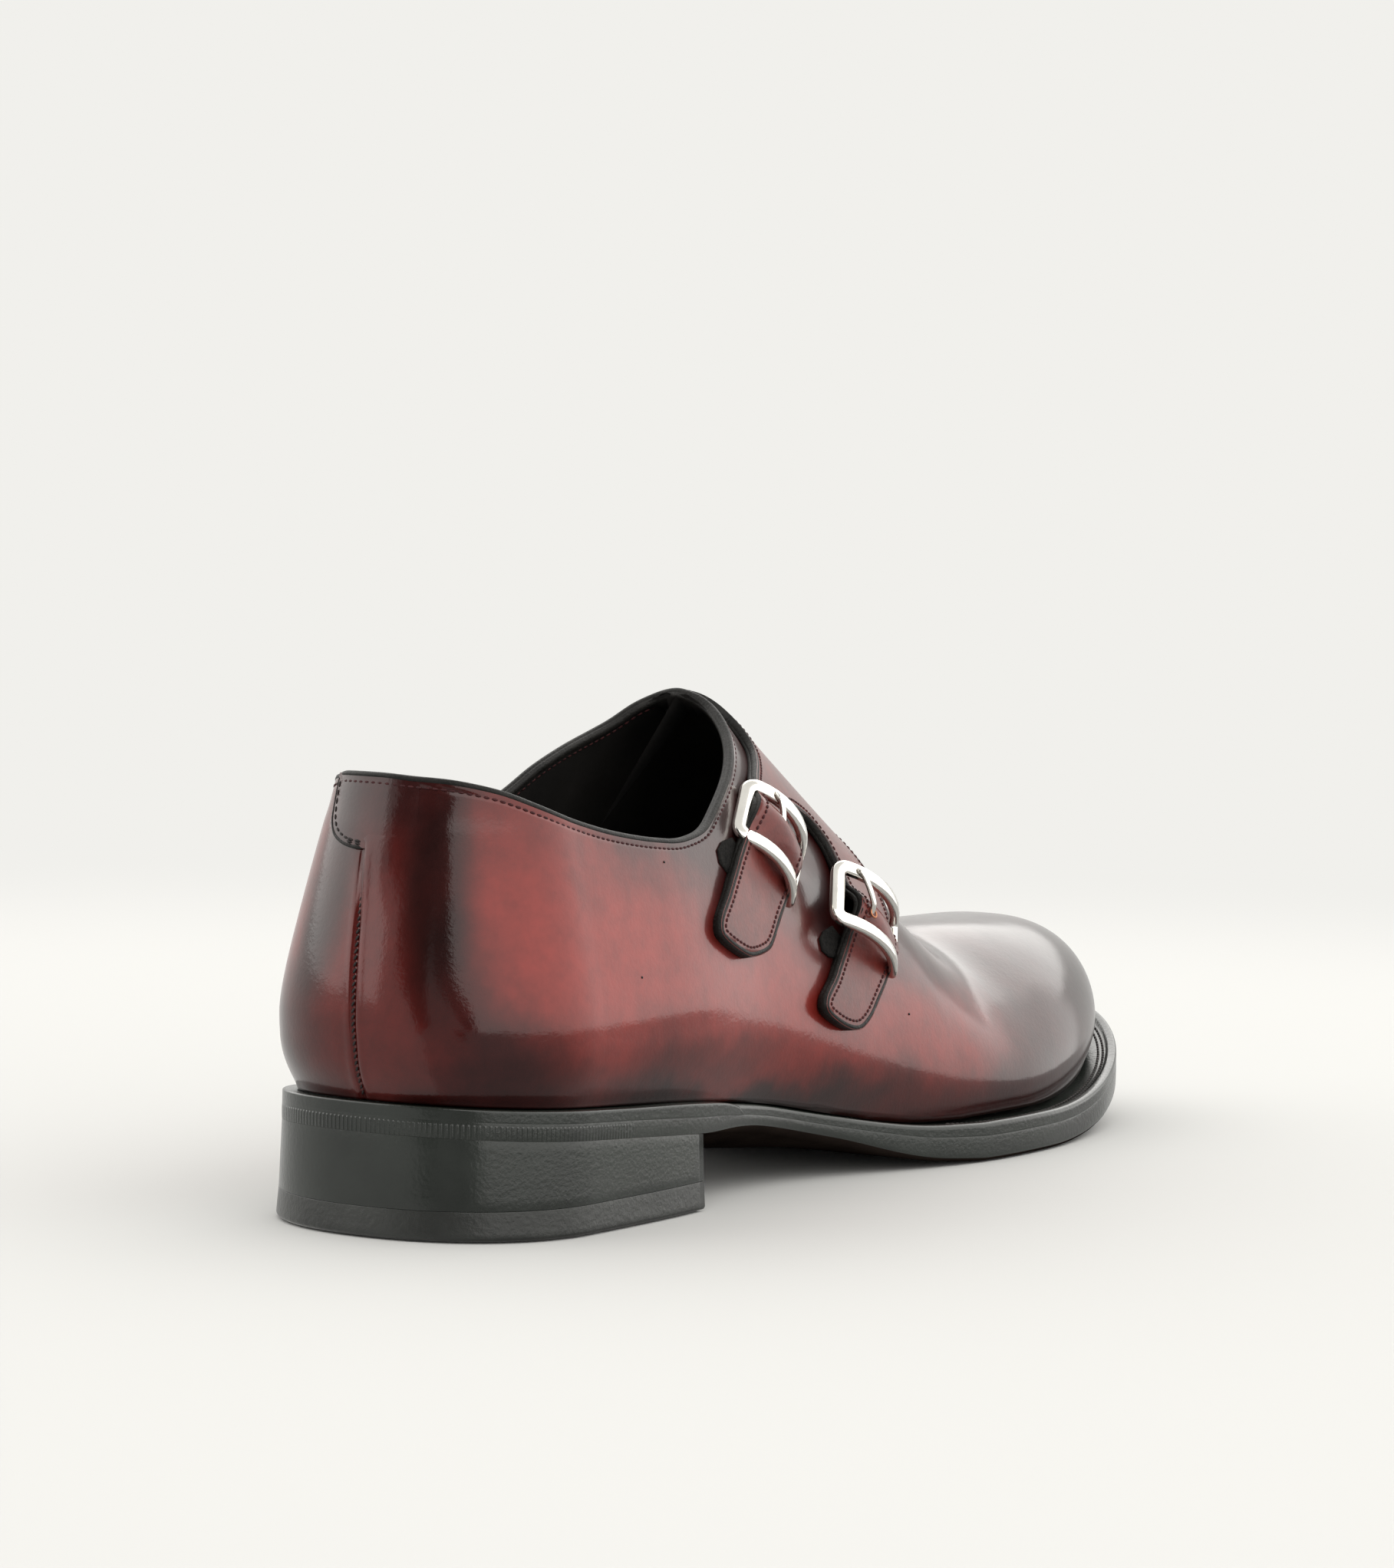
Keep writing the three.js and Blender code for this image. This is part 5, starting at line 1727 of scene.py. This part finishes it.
def makeFloor():
    bm = bmesh.new()
    bmesh.ops.create_grid(bm, x_segments=2, y_segments=2, size=30.0)
    material, nodes, links, shader = newMaterial("floor_paper")
    shader.inputs["Base Color"].default_value = (*studio["paper"], 1)
    shader.inputs["Roughness"].default_value = 1.0
    shader.inputs["Specular IOR Level"].default_value = 0.0
    coords = nodes.new("ShaderNodeTexCoord").outputs["Object"]
    near = cloudNode(nodes, links, coords, (110, 0, 0), (900, 900, 900))
    glow = nodes.new("ShaderNodeEmission")
    glow.inputs["Color"].default_value = (*studio["air"], 1)
    blend = nodes.new("ShaderNodeMixShader")
    share = nodes.new("ShaderNodeMapRange")
    share.interpolation_type = "SMOOTHERSTEP"
    share.inputs["From Min"].default_value = 0.05
    share.inputs["From Max"].default_value = 0.62
    links.new(near, share.inputs["Value"])
    links.new(share.outputs["Result"], blend.inputs["Fac"])
    links.new(glow.outputs["Emission"], blend.inputs[1])
    links.new(shader.outputs["BSDF"], blend.inputs[2])
    links.new(blend.outputs["Shader"], nodes["Material Output"].inputs["Surface"])
    floor = linkMesh(bm, "floor", [material])
    floor.location.z = -0.0004
    floor.visible_glossy = False


makeFloor()


def makeWorld():
    world = bpy.data.worlds.new("studio")
    world.use_nodes = True
    bpy.context.scene.world = world
    background = world.node_tree.nodes["Background"]
    background.inputs["Color"].default_value = (*studio["air"], 1)
    background.inputs["Strength"].default_value = 1.0


makeWorld()

# Light cards and dark flags round the shoe: from and to in degrees round it and up, brightness, distance
studioCards = {
    "side_box": ((-166, -7), (-9, 28), 2.1, 3.0),
    "side_top": ((-166, -7), (28, 60), 2.9, 3.0),
    "far_box": ((58, 156), (7, 56), 2.7, 3.0),
    "back_box": ((-7, 58), (16, 62), 3.1, 3.1),
    "dim_wall": ((160, 196), (-8, 66), 0.85, 2.9),
}

# Dark flags: height in degrees, from and to in degrees round
darkFlags = {
    "flag_left": [(-7, 184, 190), (0, 182, 191), (9, 177, 189), (14, 171, 186), (19, 163, 190), (62, 160, 190)],
    "flag_right": [(-7, 217, 224), (0, 213, 223), (9, 206, 219), (14, 198, 212), (19, 188, 204), (30, 186, 199),
                   (62, 186, 197)],
}
dimStrip = [(-7, 188, 219), (9, 187, 209), (14, 184, 201), (19, 182, 192), (28, 184, 188)]
flagLook = {"brightness": 0.015, "distance": 2.65, "strip": 0.5, "stripDistance": 2.75}

# Dark ground seen only in reflections, towards the camera: from and to round, reach, depth and brightness
groundCard = {"from": 190.0, "to": 361.0, "near": 95.0, "far": 950.0, "depth": 75.0, "brightness": 0.52,
              "oval": 1.5, "shade": 0.3, "shadeDepth": 60.0}


def cardMaterial(name, brightness):
    material = bpy.data.materials.new(name)
    material.use_nodes = True
    nodes, links = material.node_tree.nodes, material.node_tree.links
    nodes.clear()
    glow = nodes.new("ShaderNodeEmission")
    glow.inputs["Color"].default_value = (1.0, 0.985, 0.955, 1)
    glow.inputs["Strength"].default_value = brightness
    output = nodes.new("ShaderNodeOutputMaterial")
    links.new(glow.outputs["Emission"], output.inputs["Surface"])
    return material


def onDome(azimuth, elevation, distance):
    a, e = math.radians(azimuth), math.radians(elevation)
    outward = Vector((math.cos(a) * math.cos(e), math.sin(a) * math.cos(e), math.sin(e)))
    return studioMiddle + outward * (distance / mm)


def addCard(name, corner, brightness, lights):
    bm = bmesh.new()
    gridSurface(bm, 25, 13, corner)
    card = linkMesh(bm, name, [cardMaterial(name, brightness)])
    card.visible_camera = False
    card.visible_shadow = False
    card.visible_diffuse = lights
    card.visible_transmission = False


for name, (bearing, height, brightness, distance) in studioCards.items():
    def cornerAt(column, row, b=bearing, h=height, d=distance):
        return onDome(b[0] + (b[1] - b[0]) * column / 24, h[0] + (h[1] - h[0]) * row / 12, d)
    addCard(name, cornerAt, brightness, brightness > 1)


def addShapedCard(name, table, brightness, distance):
    leftEdge = steadyCurve([r[0] for r in table], [r[1] for r in table])
    rightEdge = steadyCurve([r[0] for r in table], [r[2] for r in table])
    low, high = table[0][0], table[-1][0]

    def corner(column, row):
        height = low + (high - low) * (row / 12) ** 1.6
        left = leftEdge(height)
        return onDome(left + (rightEdge(height) - left) * column / 24, height, distance)
    addCard(name, corner, brightness, False)


for name, table in darkFlags.items():
    addShapedCard(name, table, flagLook["brightness"], flagLook["distance"])
addShapedCard("dim_strip", dimStrip, flagLook["strip"], flagLook["stripDistance"])


def addGroundCard(name, bearing, reachOut, depth, brightness):
    def corner(column, row):
        a = math.radians(bearing[0] + (bearing[1] - bearing[0]) * column / 24)
        out = reachOut[0] + (reachOut[1] - reachOut[0]) * row / 12
        return Vector((studioMiddle.x + math.cos(a) * out * groundCard["oval"], math.sin(a) * out, -depth))
    addCard(name, corner, brightness, False)


addGroundCard("ground_card", (groundCard["from"], groundCard["to"]), (groundCard["near"], groundCard["far"]),
              groundCard["depth"], groundCard["brightness"])
groundFlags = {"ground_flag_left": (184.5, 190.5), "ground_flag_right": (216.5, 223.5)}
groundFlagLook = {"near": 480.0, "depth": 72.0, "brightness": 0.06}
for name, bearing in groundFlags.items():
    addGroundCard(name, bearing, (groundFlagLook["near"], groundCard["far"]), groundFlagLook["depth"],
                  groundFlagLook["brightness"])
addGroundCard("ground_shade", (0.0, 360.0), (1.0, groundCard["near"]), groundCard["shadeDepth"],
              groundCard["shade"])


def makeCamera():
    data = bpy.data.cameras.new("camera")
    data.lens = studio["lens"]
    data.sensor_width = 36
    data.sensor_fit = "AUTO"
    data.clip_start = 0.05
    data.clip_end = 30
    camera = bpy.data.objects.new("camera", data)
    columns = [Vector(studio[k]) for k in ("right", "up", "back")]
    matrix = Matrix((columns[0], columns[1], columns[2])).transposed().to_4x4()
    matrix.translation = Vector(studio["cameraPlace"])
    camera.matrix_world = matrix
    bpy.context.scene.collection.objects.link(camera)
    bpy.context.scene.camera = camera


makeCamera()
bpy.context.scene.view_settings.view_transform = "Standard"
print("studio ready")
